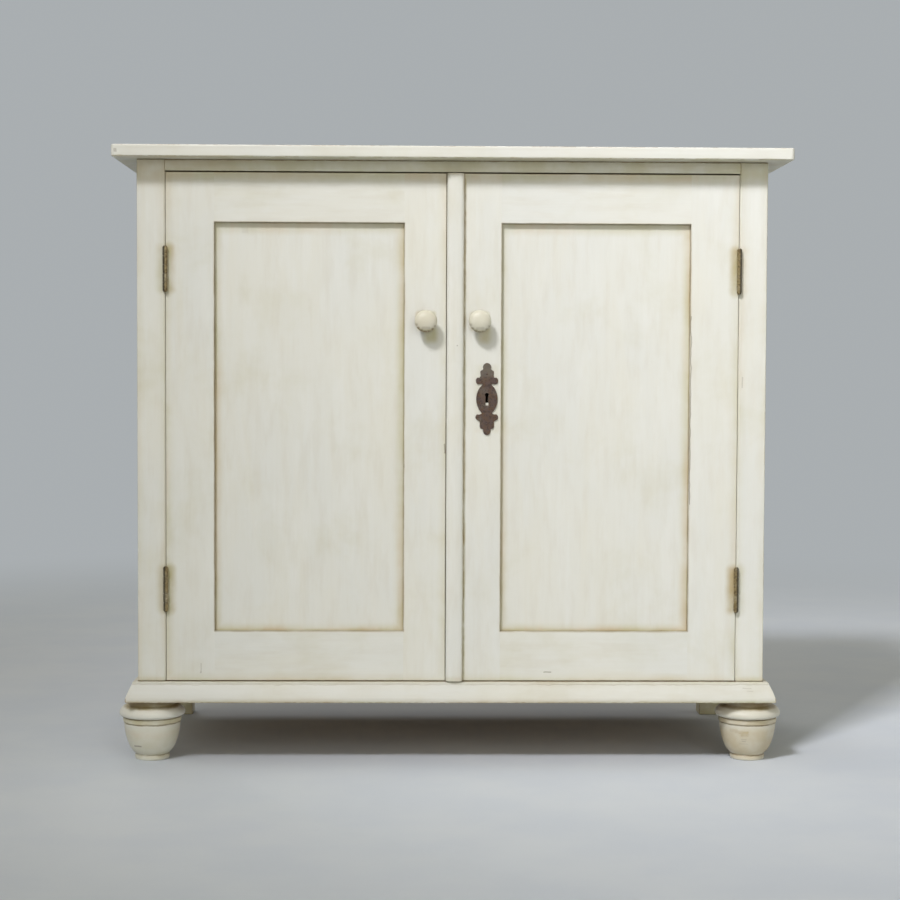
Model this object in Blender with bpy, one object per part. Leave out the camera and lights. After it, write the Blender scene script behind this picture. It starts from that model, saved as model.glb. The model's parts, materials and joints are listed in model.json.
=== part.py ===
import math

import bmesh
import bpy
from mathutils import Vector

# Carcass sizes in metres. X runs across the front, Y to the back, Z up.
BODY_WIDTH = 1.000
BODY_DEPTH = 0.460
CARCASS_HEIGHT = 0.829
SIDE_THICKNESS = 0.020
FRONT_STILE_WIDTH = 0.0435
FRONT_STILE_THICKNESS = 0.022
FRONT_STILE_ROUND = 0.0015
TOP_RAIL_HEIGHT = 0.018
STOP_LIP_DROP = 0.015
STOP_LIP_THICKNESS = 0.020
BOTTOM_BOARD_THICKNESS = 0.018

# Top board
TOP_THICKNESS = 0.019
TOP_SIDE_OVERHANG = 0.035
TOP_FRONT_OVERHANG = 0.038
TOP_BACK_OVERHANG = 0.006
TOP_CORNER_RADIUS = 0.006
TOP_EDGE_ROUND = 0.002

# Base frame and its splayed moulding
BASE_HEIGHT = 0.032
BASE_RAIL_WIDTH = 0.060
MOULDING_PROJECTION = 0.0185
# Outline of the moulding: shares of its projection and of its height, from the lower inner corner
MOULDING_PROFILE_SHARES = (
    (0.00, 0.00), (0.91, 0.00), (0.98, 0.03), (1.00, 0.10), (0.995, 0.17), (0.96, 0.26), (0.84, 0.42),
    (0.73, 0.575), (0.61, 0.73), (0.46, 0.90), (0.39, 0.965), (0.31, 1.00), (0.00, 1.00),
)

# Feet. The turned profile is shares of the ring radius and of the foot height, from the floor up.
FOOT_HEIGHT = 0.098
FOOT_RING_RADIUS = 0.0525
FOOT_SIDE_INSET = 0.018
FOOT_FRONT_INSET = 0.035
FOOT_DOWEL_RADIUS = 0.011
FOOT_DOWEL_LENGTH = 0.024
FOOT_PROFILE_SHARES = (
    (0.490, 0.000), (0.518, 0.012), (0.528, 0.045), (0.520, 0.078), (0.506, 0.092), (0.558, 0.120),
    (0.618, 0.155), (0.672, 0.198), (0.722, 0.255), (0.768, 0.325), (0.810, 0.405), (0.840, 0.490),
    (0.860, 0.575), (0.862, 0.608), (0.842, 0.618), (0.884, 0.632), (0.884, 0.692), (0.862, 0.704),
    (0.930, 0.716), (0.985, 0.742), (1.000, 0.772), (0.985, 0.802), (0.930, 0.842), (0.845, 0.880),
    (0.755, 0.905), (0.730, 0.918),
)
FOOT_FACETS = 36
BLOCK_FOOT_WIDTH = 0.0385
BLOCK_FOOT_DEPTH = 0.040
BLOCK_FOOT_ROUND = 0.002

# Back boards and the rebates that hold them
BACK_THICKNESS = 0.010
BACK_REBATE = 0.010
BACK_BOARD_COUNT = 4
TONGUE_LENGTH = 0.005
TONGUE_THICKNESS = 0.0032
BACK_RAIL_HEIGHT = 0.040
BACK_RAIL_THICKNESS = 0.020

# Shelf
SHELF_HEIGHT = 0.392
SHELF_THICKNESS = 0.016
SHELF_FRONT_SETBACK = 0.060
CLEAT_HEIGHT = 0.025
CLEAT_THICKNESS = 0.016
CLEAT_END_SETBACK = 0.010

# Doors
DOOR_THICKNESS = 0.022
DOOR_TOP_GAP = 0.0025
DOOR_BOTTOM_GAP = 0.0015
DOOR_STOP_GAP = 0.0008
HINGE_GAP = 0.003
MEETING_GAP = 0.0024
MEETING_OFFSET = -0.0103
HINGE_STILE_WIDTH = 0.0755
LEFT_MEETING_STILE_WIDTH = 0.0657
RIGHT_MEETING_STILE_WIDTH = 0.0865
DOOR_TOP_RAIL_HEIGHT = 0.078
DOOR_BOTTOM_RAIL_HEIGHT = 0.079
PANEL_RECESS = 0.008
PANEL_THICKNESS = 0.007
GROOVE_DEPTH = 0.009
PANEL_EXPANSION = 0.001
TENON_LENGTH = 0.045
TENON_HAUNCH = 0.012

# Cover strip on the right door: half outline as shares of half its width and of its projection
STRIP_WIDTH = 0.0265
STRIP_PROJECTION = 0.012
STRIP_PROFILE_SHARES = (
    (1.00, 0.00), (1.00, 0.28), (0.96, 0.50), (0.87, 0.69), (0.72, 0.84), (0.50, 0.94), (0.25, 0.99), (0.00, 1.00),
)

# Knobs: turned profile as shares of the knob radius and of its projection, from the door outwards
KNOB_RADIUS = 0.0178
KNOB_PROJECTION = 0.031
KNOB_CENTRE_OFFSET = 0.0427
KNOB_HEIGHT = 0.575
KNOB_SPIGOT_RADIUS = 0.0052
KNOB_SPIGOT_LENGTH = 0.013
KNOB_PROFILE_SHARES = (
    (0.640, 0.000), (0.640, 0.050), (0.520, 0.110), (0.470, 0.220), (0.500, 0.330), (0.640, 0.420),
    (0.870, 0.490), (0.975, 0.560), (1.000, 0.640), (0.975, 0.730), (0.880, 0.830), (0.700, 0.920),
    (0.440, 0.975),
)
KNOB_FACETS = 28

# Butt hinges
HINGE_LENGTH = 0.070
HINGE_UPPER_DROP = 0.1525
HINGE_LOWER_RISE = 0.1465
KNUCKLE_COUNT = 5
KNUCKLE_RADIUS = 0.0038
KNUCKLE_BORE_RADIUS = 0.0018
KNUCKLE_FACE_CLEARANCE = 0.0004
KNUCKLE_FACETS = 14
LEAF_THICKNESS = 0.0016
LEAF_WIDTH = 0.0165
LEAF_CLEARANCE = 0.0003
LEAF_SCREW_RADIUS = 0.0018
LEAF_SCREW_FACETS = 8
LEAF_SCREW_SHARES = (-0.36, 0.0, 0.36)
LEAF_SCREW_STAGGER_SHARE = 0.16
PIN_HEAD_RADIUS = 0.0030
PIN_HEAD_HEIGHT = 0.0016

# Lock, on the back of the right door
LOCK_HEIGHT = 0.452
KEYHOLE_OFFSET = 0.0547
CASE_WIDTH = 0.076
CASE_HEIGHT = 0.062
CASE_DEPTH = 0.015
CASE_WALL = 0.0016
CASE_EDGE_SETBACK = 0.001
CASE_ROUND = 0.0010
KEY_POST_RADIUS = 0.0014
KEY_POST_REACH = 0.009
KEY_POST_FACETS = 10
BOLT_THICKNESS = 0.008
BOLT_HEIGHT = 0.014
BOLT_LENGTH = 0.036
KEEPER_WIDTH = 0.020
KEEPER_WALL = 0.002
KEEPER_SETBACK = 0.0015

# Escutcheon plate: half width, half height and thickness of the pierced iron plate
PLATE_HALF_WIDTH = 0.018
PLATE_HALF_HEIGHT = 0.0573
PLATE_THICKNESS = 0.0018
PLATE_ROUND = 0.0004
KEYHOLE_RADIUS = 0.0032
KEYHOLE_STEM_DROP = 0.0165
KEYHOLE_STEM_WIDTH = 0.0052
KEYHOLE_NECK_SHARE = 0.8
KEYHOLE_RISE = 0.0065
KEYHOLE_FACETS = 12
DOOR_KEYHOLE_STEM_DROP = 0.0125
# Right half, from the top down: centre across and up, both half axes, first and last angle, points.
# Places and axes are shares of the half width across and of the half height up.
PLATE_ARC_SHARES = (
    (0.00, 0.885, 0.365, 0.115, 90, -22, 6),
    (0.40, 0.760, 0.190, 0.060, 78, -10, 4),
    (0.75, 0.517, 0.235, 0.074, 122, -92, 8),
    (0.47, 0.425, 0.060, 0.019, 90, 190, 3),
    (0.00, -0.015, 0.960, 0.445, 63, -57, 11),
    (0.75, -0.512, 0.250, 0.079, 100, -62, 8),
    (0.41, -0.757, 0.205, 0.064, 12, -78, 4),
    (0.00, -0.885, 0.350, 0.115, 14, -90, 6),
)

# Slide bolts on the back of the left door
SLIDE_OFFSET = 0.044
SLIDE_PLATE_WIDTH = 0.018
SLIDE_PLATE_LENGTH = 0.064
SLIDE_PLATE_THICKNESS = 0.0015
SLIDE_PLATE_SETBACK = 0.004
SLIDE_ROD_RADIUS = 0.0028
SLIDE_ROD_CENTRE = 0.0065
SLIDE_ROD_END_GAP = 0.0015
SLIDE_ROD_TAIL = 0.003
SLIDE_TRAVEL = 0.012
SLIDE_GUIDE_WIDTH = 0.012
SLIDE_GUIDE_LENGTH = 0.008
SLIDE_GUIDE_WALL = 0.0018
SLIDE_KNOB_RADIUS = 0.0026
SLIDE_KNOB_REACH = 0.009
SLIDE_KNOB_SEAT = 0.005
SLIDE_FACETS = 14
SOCKET_CLEARANCE = 0.0017

# Clearances
SEAT = 0.0003
RUNNING = 0.0003
CUT_OVERRUN = 0.004
WELD_DISTANCE = 0.000002

SMOOTH_ANGLE = math.radians(38)

# Levels and planes that the sizes above fix
BASE_TOP = FOOT_HEIGHT + BASE_HEIGHT
CARCASS_TOP = BASE_TOP + CARCASS_HEIGHT
DOOR_BOTTOM = BASE_TOP + DOOR_BOTTOM_GAP
DOOR_TOP = CARCASS_TOP - TOP_RAIL_HEIGHT - DOOR_TOP_GAP
FLOOR_TOP = BASE_TOP + BOTTOM_BOARD_THICKNESS
LIP_BOTTOM = CARCASS_TOP - TOP_RAIL_HEIGHT - STOP_LIP_DROP
SHELF_TOP = FLOOR_TOP + SHELF_HEIGHT
HALF_BODY = BODY_WIDTH / 2
HALF_INSIDE = HALF_BODY - SIDE_THICKNESS
FRONT_Y = TOP_FRONT_OVERHANG - (TOP_FRONT_OVERHANG + BODY_DEPTH + TOP_BACK_OVERHANG) / 2
BACK_Y = FRONT_Y + BODY_DEPTH
BACK_BOARD_Y = BACK_Y - BACK_THICKNESS
DOOR_BACK_Y = FRONT_Y + DOOR_THICKNESS
STOP_Y = DOOR_BACK_Y + DOOR_STOP_GAP
HINGE_X = HALF_BODY - FRONT_STILE_WIDTH - HINGE_GAP / 2
HINGE_Y = FRONT_Y - KNUCKLE_RADIUS - KNUCKLE_FACE_CLEARANCE
LEAF_OUTER = LEAF_CLEARANCE + LEAF_THICKNESS
HINGE_LEVELS = {"upper": DOOR_TOP - HINGE_UPPER_DROP, "lower": DOOR_BOTTOM + HINGE_LOWER_RISE}
GROOVE_FRONT_Y = FRONT_Y + PANEL_RECESS - RUNNING
GROOVE_BACK_Y = FRONT_Y + PANEL_RECESS + PANEL_THICKNESS + RUNNING
LOCK_LEVEL = BASE_TOP + LOCK_HEIGHT
SIDES = (("left", -1), ("right", 1))


def clearScene():
    for item in list(bpy.data.objects):
        bpy.data.objects.remove(item, do_unlink=True)


def material(name, colour, roughness, metallic):
    made = bpy.data.materials.new(name)
    made.use_nodes = True
    shader = made.node_tree.nodes["Principled BSDF"]
    shader.inputs["Base Color"].default_value = (*colour, 1.0)
    shader.inputs["Roughness"].default_value = roughness
    shader.inputs["Metallic"].default_value = metallic
    made.diffuse_color = (*colour, 1.0)
    return made


def axisEmpty(name, place):
    empty = bpy.data.objects.new(name, None)
    bpy.context.collection.objects.link(empty)
    empty.location = place
    return empty


def middle(mesh):
    corners = [vertex.co for vertex in mesh.verts]
    low = Vector(min(corner[axis] for corner in corners) for axis in range(3))
    high = Vector(max(corner[axis] for corner in corners) for axis in range(3))
    return (low + high) / 2


def addObject(name, mesh, finish, parent=None, origin=None, smooth=False):
    """Turn a bmesh drawn in world places into an object whose origin is its middle, or the one given."""
    bmesh.ops.recalc_face_normals(mesh, faces=mesh.faces)
    origin = middle(mesh) if origin is None else Vector(origin)
    bmesh.ops.translate(mesh, verts=mesh.verts, vec=-origin)
    data = bpy.data.meshes.new(name)
    mesh.to_mesh(data)
    mesh.free()
    if smooth:
        data.shade_smooth()
        data.set_sharp_from_angle(angle=SMOOTH_ANGLE)
    piece = bpy.data.objects.new(name, data)
    bpy.context.collection.objects.link(piece)
    piece.location = origin
    if parent is not None:
        piece.parent = parent
        piece.location = origin - parent.location
    if finish is not None:
        data.materials.append(finish(name))
    return piece


def box(xs, ys, zs):
    mesh = bmesh.new()
    bmesh.ops.create_cube(mesh, size=1.0)
    size = Vector((abs(xs[1] - xs[0]), abs(ys[1] - ys[0]), abs(zs[1] - zs[0])))
    centre = Vector(((xs[0] + xs[1]) / 2, (ys[0] + ys[1]) / 2, (zs[0] + zs[1]) / 2))
    bmesh.ops.scale(mesh, verts=mesh.verts, vec=size)
    bmesh.ops.translate(mesh, verts=mesh.verts, vec=centre)
    return mesh


def prism(outline, axis, start, end):
    """Extrude a flat outline along X, Y or Z. Its two coordinates are the other two axes, in order."""
    places = {"X": lambda a, b: (start, a, b), "Y": lambda a, b: (a, start, b), "Z": lambda a, b: (a, b, start)}
    along = Vector([end - start if axis == letter else 0 for letter in "XYZ"])
    mesh = bmesh.new()
    ring = [mesh.verts.new(places[axis](a, b)) for a, b in outline]
    face = mesh.faces.new(ring)
    raised = bmesh.ops.extrude_face_region(mesh, geom=[face])["geom"]
    moved = [item for item in raised if isinstance(item, bmesh.types.BMVert)]
    bmesh.ops.translate(mesh, verts=moved, vec=along)
    bmesh.ops.recalc_face_normals(mesh, faces=mesh.faces)
    return mesh


def turned(profile, facets):
    """Spin a profile of (radius, height) pairs round Z. Its first and last radius are closed flat."""
    mesh = bmesh.new()
    points = [(0, profile[0][1]), *profile, (0, profile[-1][1])]
    row = [mesh.verts.new((radius, 0, height)) for radius, height in points]
    edges = [mesh.edges.new(pair) for pair in zip(row, row[1:])]
    bmesh.ops.spin(mesh, geom=row + edges, cent=(0, 0, 0), axis=(0, 0, 1), angle=math.tau, steps=facets, use_merge=True)
    bmesh.ops.remove_doubles(mesh, verts=mesh.verts, dist=WELD_DISTANCE)
    bmesh.ops.recalc_face_normals(mesh, faces=mesh.faces)
    return mesh


def rod(radius, low, high, facets, axis="Z", centre=(0, 0)):
    circle = [math.tau * (step + 0.5) / facets for step in range(facets)]
    outline = [(centre[0] + radius * math.cos(turn), centre[1] + radius * math.sin(turn)) for turn in circle]
    return prism(outline, axis, low, high)


def helper(piece, mesh, operation):
    """Add a hidden tool body to a piece as a Boolean."""
    tool = addObject(piece.name + "_tool", mesh, None, origin=piece.matrix_world.translation)
    bpy.context.view_layer.update()
    tool.parent = piece
    tool.location = (0, 0, 0)
    tool.hide_render = True
    tool.display_type = "WIRE"
    change = piece.modifiers.new(operation.lower(), "BOOLEAN")
    change.operation = operation
    change.solver = "EXACT"
    change.object = tool
    return tool


def cut(piece, mesh):
    bpy.context.view_layer.update()
    return helper(piece, mesh, "DIFFERENCE")


def join(piece, mesh):
    bpy.context.view_layer.update()
    return helper(piece, mesh, "UNION")


def rounded(piece, width, segments=2):
    soft = piece.modifiers.new("soft edges", "BEVEL")
    soft.width = width
    soft.segments = segments
    soft.limit_method = "ANGLE"
    soft.angle_limit = math.radians(40)
    return piece


def paint(name):
    return material(name + "_paint", (0.70, 0.68, 0.60), 0.45, 0.0)


def pine(name):
    return material(name + "_pine", (0.52, 0.36, 0.20), 0.60, 0.0)


def iron(name):
    return material(name + "_iron", (0.10, 0.065, 0.05), 0.55, 0.8)


def brass(name):
    return material(name + "_brass", (0.36, 0.26, 0.13), 0.45, 0.9)


def buildTop():
    half = HALF_BODY + TOP_SIDE_OVERHANG
    front = FRONT_Y - TOP_FRONT_OVERHANG
    mesh = box((-half, half), (front, BACK_Y + TOP_BACK_OVERHANG), (CARCASS_TOP, CARCASS_TOP + TOP_THICKNESS))
    corners = [edge for edge in mesh.edges if abs(edge.verts[0].co.z - edge.verts[1].co.z) > TOP_THICKNESS / 2]
    bmesh.ops.bevel(mesh, geom=corners, offset=TOP_CORNER_RADIUS, segments=4, profile=0.5, affect="EDGES")
    rounded(addObject("top_board", mesh, paint), TOP_EDGE_ROUND)


def buildSides():
    front = FRONT_Y + FRONT_STILE_THICKNESS + SEAT
    for side, hand in SIDES:
        plan = [
            (HALF_BODY, front), (HALF_BODY, BACK_Y), (HALF_BODY - SIDE_THICKNESS + BACK_REBATE, BACK_Y),
            (HALF_BODY - SIDE_THICKNESS + BACK_REBATE, BACK_BOARD_Y), (HALF_INSIDE, BACK_BOARD_Y),
            (HALF_INSIDE, front),
        ]
        mesh = prism([(hand * x, y) for x, y in plan], "Z", BASE_TOP + SEAT, CARCASS_TOP - SEAT)
        addObject(side + "_side", mesh, paint)


def hingeRecess(hand, level, inward):
    """The shallow bed for one leaf: inward is -1 for the door's edge and 1 for the frame's edge."""
    near = HINGE_X - inward * CUT_OVERRUN
    far = HINGE_X + inward * (LEAF_OUTER + SEAT)
    back = FRONT_Y + LEAF_WIDTH + SEAT
    half = HINGE_LENGTH / 2 + SEAT
    return box((hand * near, hand * far), (FRONT_Y - CUT_OVERRUN, back), (level - half, level + half))


def buildFaceFrame():
    inner = HALF_BODY - FRONT_STILE_WIDTH
    for side, hand in SIDES:
        mesh = box((hand * inner, hand * HALF_BODY), (FRONT_Y, FRONT_Y + FRONT_STILE_THICKNESS),
                   (BASE_TOP + SEAT, CARCASS_TOP - SEAT))
        stile = rounded(addObject(side + "_front_stile", mesh, paint), FRONT_STILE_ROUND)
        for level in HINGE_LEVELS.values():
            cut(stile, hingeRecess(hand, level, 1))
    reveal = CARCASS_TOP - TOP_RAIL_HEIGHT
    lipBack = STOP_Y + STOP_LIP_THICKNESS
    section = [
        (FRONT_Y, CARCASS_TOP - SEAT), (FRONT_Y, reveal), (STOP_Y, reveal), (STOP_Y, LIP_BOTTOM),
        (lipBack, LIP_BOTTOM), (lipBack, CARCASS_TOP - SEAT),
    ]
    rail = addObject("top_front_rail", prism(section, "X", SEAT - inner, inner - SEAT), paint)
    cut(rail, slideSocket(LIP_BOTTOM, 1))


def buildFloor():
    half = HALF_INSIDE - SEAT
    mesh = box((-half, half), (STOP_Y, BACK_BOARD_Y - SEAT), (BASE_TOP + SEAT, FLOOR_TOP))
    board = addObject("bottom_board", mesh, pine)
    cut(board, slideSocket(FLOOR_TOP, -1))


def buildBase():
    inner = HALF_BODY - BASE_RAIL_WIDTH
    for side, hand in SIDES:
        mesh = box((hand * inner, hand * HALF_BODY), (FRONT_Y, BACK_Y), (FOOT_HEIGHT, BASE_TOP))
        rail = addObject("base_" + side + "_rail", mesh, pine)
        centre = (hand * (HALF_BODY - FOOT_SIDE_INSET), FRONT_Y + FOOT_FRONT_INSET)
        cut(rail, rod(FOOT_DOWEL_RADIUS + SEAT, FOOT_HEIGHT - CUT_OVERRUN,
                      FOOT_HEIGHT + FOOT_DOWEL_LENGTH + SEAT, FOOT_FACETS // 2, centre=centre))
    span = (SEAT - inner, inner - SEAT)
    front = box(span, (FRONT_Y, FRONT_Y + BASE_RAIL_WIDTH), (FOOT_HEIGHT, BASE_TOP))
    addObject("base_front_rail", front, pine)
    back = box(span, (BACK_Y - BASE_RAIL_WIDTH, BACK_Y), (FOOT_HEIGHT, BASE_TOP))
    addObject("base_back_rail", back, pine)


def mouldingSection():
    """Pairs of projection from the frame's face and level."""
    return [(SEAT + across * (MOULDING_PROJECTION - SEAT), FOOT_HEIGHT + up * BASE_HEIGHT)
            for across, up in MOULDING_PROFILE_SHARES]


def buildMouldings():
    section = mouldingSection()
    mesh = prism([(FRONT_Y - out, level) for out, level in section], "X", -HALF_BODY, HALF_BODY)
    for vertex in mesh.verts:
        vertex.co.x = math.copysign(HALF_BODY + FRONT_Y - vertex.co.y - SEAT, vertex.co.x)
    addObject("base_front_moulding", mesh, paint)
    for side, hand in SIDES:
        mesh = prism([(hand * (HALF_BODY + out), level) for out, level in section], "Y", FRONT_Y, BACK_Y)
        for vertex in mesh.verts:
            if vertex.co.y < FRONT_Y + BODY_DEPTH / 2:
                vertex.co.y = FRONT_Y - abs(vertex.co.x) + HALF_BODY
        addObject("base_" + side + "_moulding", mesh, paint)


def buildBack():
    left = SEAT - HALF_BODY + SIDE_THICKNESS - BACK_REBATE
    pitch = -2 * left / BACK_BOARD_COUNT
    front = BACK_BOARD_Y + SEAT
    centre = (front + BACK_Y) / 2
    for index in range(BACK_BOARD_COUNT):
        start = left + pitch * index
        end = start + pitch
        plan = [(start, BACK_Y), (start, front), (end, front), (end, BACK_Y)]
        if index < BACK_BOARD_COUNT - 1:
            end -= SEAT
            half = TONGUE_THICKNESS / 2
            tip = end + TONGUE_LENGTH
            plan[2:] = [(end, front), (end, centre - half), (tip, centre - half), (tip, centre + half),
                        (end, centre + half), (end, BACK_Y)]
        if index > 0:
            half = TONGUE_THICKNESS / 2 + RUNNING
            root = start + TONGUE_LENGTH + RUNNING
            plan[1:1] = [(start, centre + half), (root, centre + half), (root, centre - half), (start, centre - half)]
        mesh = prism(plan, "Z", BASE_TOP + SEAT, CARCASS_TOP - SEAT)
        addObject("back_board_" + str(index + 1), mesh, pine)
    half = HALF_INSIDE - SEAT
    mesh = box((-half, half), (BACK_BOARD_Y - BACK_RAIL_THICKNESS, BACK_BOARD_Y),
               (CARCASS_TOP - BACK_RAIL_HEIGHT, CARCASS_TOP - SEAT))
    addObject("back_top_rail", mesh, pine)


def buildShelf():
    half = HALF_INSIDE - SEAT
    front = FRONT_Y + SHELF_FRONT_SETBACK
    underside = SHELF_TOP - SHELF_THICKNESS
    mesh = box((-half, half), (front, BACK_BOARD_Y - SEAT), (underside, SHELF_TOP))
    addObject("shelf", mesh, pine)
    for side, hand in SIDES:
        mesh = box((hand * half, hand * (half - CLEAT_THICKNESS)),
                   (front + CLEAT_END_SETBACK, BACK_BOARD_Y - CLEAT_END_SETBACK),
                   (underside - SEAT - CLEAT_HEIGHT, underside - SEAT))
        addObject(side + "_shelf_cleat", mesh, pine)


def buildFeet():
    neckTop = FOOT_HEIGHT - SEAT
    profile = [(across * FOOT_RING_RADIUS, up * FOOT_HEIGHT) for across, up in FOOT_PROFILE_SHARES]
    profile += [(profile[-1][0], neckTop), (FOOT_DOWEL_RADIUS, neckTop),
                (FOOT_DOWEL_RADIUS, FOOT_HEIGHT + FOOT_DOWEL_LENGTH)]
    for side, hand in SIDES:
        centre = Vector((hand * (HALF_BODY - FOOT_SIDE_INSET), FRONT_Y + FOOT_FRONT_INSET, 0))
        mesh = turned(profile, FOOT_FACETS)
        bmesh.ops.translate(mesh, verts=mesh.verts, vec=centre)
        addObject("front_" + side + "_foot", mesh, paint, origin=centre, smooth=True)
        block = box((hand * HALF_BODY, hand * (HALF_BODY - BLOCK_FOOT_WIDTH)), (BACK_Y - BLOCK_FOOT_DEPTH, BACK_Y),
                    (0, FOOT_HEIGHT - SEAT))
        rounded(addObject("back_" + side + "_foot", block, paint), BLOCK_FOOT_ROUND, 1)


def doorEdges(side, hand):
    """The door's hinge edge and meeting edge in X."""
    hinge = hand * (HINGE_X - HINGE_GAP / 2)
    meeting = MEETING_OFFSET + hand * MEETING_GAP / 2
    return hinge, meeting


def buildStile(side, part, edge, inward, width, axis):
    """One stile of a door, from its outer edge inwards, with its panel groove and two mortises."""
    inner = edge + inward * width
    mesh = box((edge, inner), (FRONT_Y, DOOR_BACK_Y), (DOOR_BOTTOM, DOOR_TOP))
    stile = addObject(side + "_door_" + part + "_stile", mesh, paint, axis)
    mouth = inner + inward * CUT_OVERRUN
    groove = inner - inward * GROOVE_DEPTH
    mortise = inner - inward * (TENON_LENGTH + PANEL_EXPANSION)
    lowTenon, highTenon = tenonLevels()
    comb = [
        (mouth, lowTenon[0] - RUNNING), (mortise, lowTenon[0] - RUNNING), (mortise, lowTenon[1] + RUNNING),
        (groove, lowTenon[1] + RUNNING), (groove, highTenon[0] - RUNNING), (mortise, highTenon[0] - RUNNING),
        (mortise, highTenon[1] + RUNNING), (mouth, highTenon[1] + RUNNING),
    ]
    cut(stile, prism(comb, "Y", GROOVE_FRONT_Y, GROOVE_BACK_Y))
    return stile


def tenonLevels():
    low = (DOOR_BOTTOM + TENON_HAUNCH, DOOR_BOTTOM + DOOR_BOTTOM_RAIL_HEIGHT - GROOVE_DEPTH - RUNNING)
    high = (DOOR_TOP - DOOR_TOP_RAIL_HEIGHT + GROOVE_DEPTH + RUNNING, DOOR_TOP - TENON_HAUNCH)
    return low, high


def buildDoorRail(side, part, ends, levels, tenon, grooveUp, axis):
    """A rail lofted through six sections: tenon, shoulder, body, shoulder, tenon, then grooved."""
    left, right = ends
    front, back = FRONT_Y + PANEL_RECESS, FRONT_Y + PANEL_RECESS + PANEL_THICKNESS
    small = (front, back, tenon[0], tenon[1])
    full = (FRONT_Y, DOOR_BACK_Y, levels[0], levels[1])
    stations = [(left - TENON_LENGTH, small), (left, small), (left, full), (right, full), (right, small),
                (right + TENON_LENGTH, small)]
    mesh = bmesh.new()
    rings = []
    for x, (near, far, low, high) in stations:
        corners = ((near, low), (far, low), (far, high), (near, high))
        rings.append([mesh.verts.new((x, y, z)) for y, z in corners])
    for first, second in zip(rings, rings[1:]):
        for step in range(len(first)):
            after = (step + 1) % len(first)
            mesh.faces.new((first[step], first[after], second[after], second[step]))
    mesh.faces.new(rings[0])
    mesh.faces.new(rings[-1])
    rail = addObject(side + "_door_" + part + "_rail", mesh, paint, axis)
    inner = levels[1] if grooveUp else levels[0]
    way = 1 if grooveUp else -1
    slot = (inner - way * GROOVE_DEPTH, inner + way * CUT_OVERRUN)
    run = (left - TENON_LENGTH - CUT_OVERRUN, right + TENON_LENGTH + CUT_OVERRUN)
    cut(rail, box(run, (GROOVE_FRONT_Y, GROOVE_BACK_Y), slot))


def buildDoor(side, hand, axis, meetingWidth):
    hinge, meeting = doorEdges(side, hand)
    hingeStile = buildStile(side, "hinge", hinge, -hand, HINGE_STILE_WIDTH, axis)
    for level in HINGE_LEVELS.values():
        cut(hingeStile, hingeRecess(hand, level, -1))
    meetingStile = buildStile(side, "meeting", meeting, hand, meetingWidth, axis)
    opening = sorted((hinge - hand * HINGE_STILE_WIDTH, meeting + hand * meetingWidth))
    ends = (opening[0] + SEAT, opening[1] - SEAT)
    lowTenon, highTenon = tenonLevels()
    lowTop = DOOR_BOTTOM + DOOR_BOTTOM_RAIL_HEIGHT
    highBottom = DOOR_TOP - DOOR_TOP_RAIL_HEIGHT
    buildDoorRail(side, "bottom", ends, (DOOR_BOTTOM, lowTop), lowTenon, True, axis)
    buildDoorRail(side, "top", ends, (highBottom, DOOR_TOP), highTenon, False, axis)
    lap = GROOVE_DEPTH - PANEL_EXPANSION
    panel = box((opening[0] - lap, opening[1] + lap),
                (FRONT_Y + PANEL_RECESS, FRONT_Y + PANEL_RECESS + PANEL_THICKNESS), (lowTop - lap, highBottom + lap))
    addObject(side + "_door_panel", panel, paint, axis)
    buildKnob(side, hand, meetingStile, axis)
    return meetingStile


def buildKnob(side, hand, stile, axis):
    profile = [(KNOB_SPIGOT_RADIUS, -KNOB_SPIGOT_LENGTH), (KNOB_SPIGOT_RADIUS, SEAT)]
    profile += [(across * KNOB_RADIUS, SEAT + out * (KNOB_PROJECTION - SEAT)) for across, out in KNOB_PROFILE_SHARES]
    profile.append((profile[-1][0] / 2, KNOB_PROJECTION))
    centre = Vector((hand * KNOB_CENTRE_OFFSET, FRONT_Y, BASE_TOP + KNOB_HEIGHT))
    mesh = turned(profile, KNOB_FACETS)
    knob = addObject(side + "_knob", mesh, paint, axis, origin=(0, 0, 0), smooth=True)
    knob.location = centre - axis.location
    knob.rotation_euler = (math.pi / 2, 0, 0)
    cut(stile, rod(KNOB_SPIGOT_RADIUS + SEAT, FRONT_Y - CUT_OVERRUN, FRONT_Y + KNOB_SPIGOT_LENGTH + SEAT,
                   KNOB_FACETS, "Y", (centre.x, centre.z)))


def buildStrip(axis):
    left = doorEdges("right", 1)[1]
    half = STRIP_WIDTH / 2
    arc = [(across * half, out * (STRIP_PROJECTION - SEAT)) for across, out in STRIP_PROFILE_SHARES]
    whole = arc + [(-across, out) for across, out in reversed(arc[:-1])]
    plan = [(left + half + across, FRONT_Y - SEAT - out) for across, out in whole]
    addObject("cover_strip", prism(plan, "Z", DOOR_BOTTOM, DOOR_TOP), paint, axis, smooth=True)


def leafOutline(ownKnuckles):
    """Side outline of one leaf as pairs of Y and Z, with the hinge axis at zero and a tab at each of its knuckles."""
    pitch = HINGE_LENGTH / KNUCKLE_COUNT
    root = (KNUCKLE_RADIUS + KNUCKLE_BORE_RADIUS) / 2
    start = KNUCKLE_RADIUS + KNUCKLE_FACE_CLEARANCE
    back = start + LEAF_WIDTH
    bottom = -HINGE_LENGTH / 2
    outline = [(back, -bottom), (back, bottom), (start, bottom)]
    for index in ownKnuckles:
        low = bottom + pitch * index + 2 * SEAT
        high = bottom + pitch * (index + 1) - 2 * SEAT
        outline += [(start, low), (root, low), (root, high), (start, high)]
    outline.append((start, -bottom))
    return outline


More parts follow.
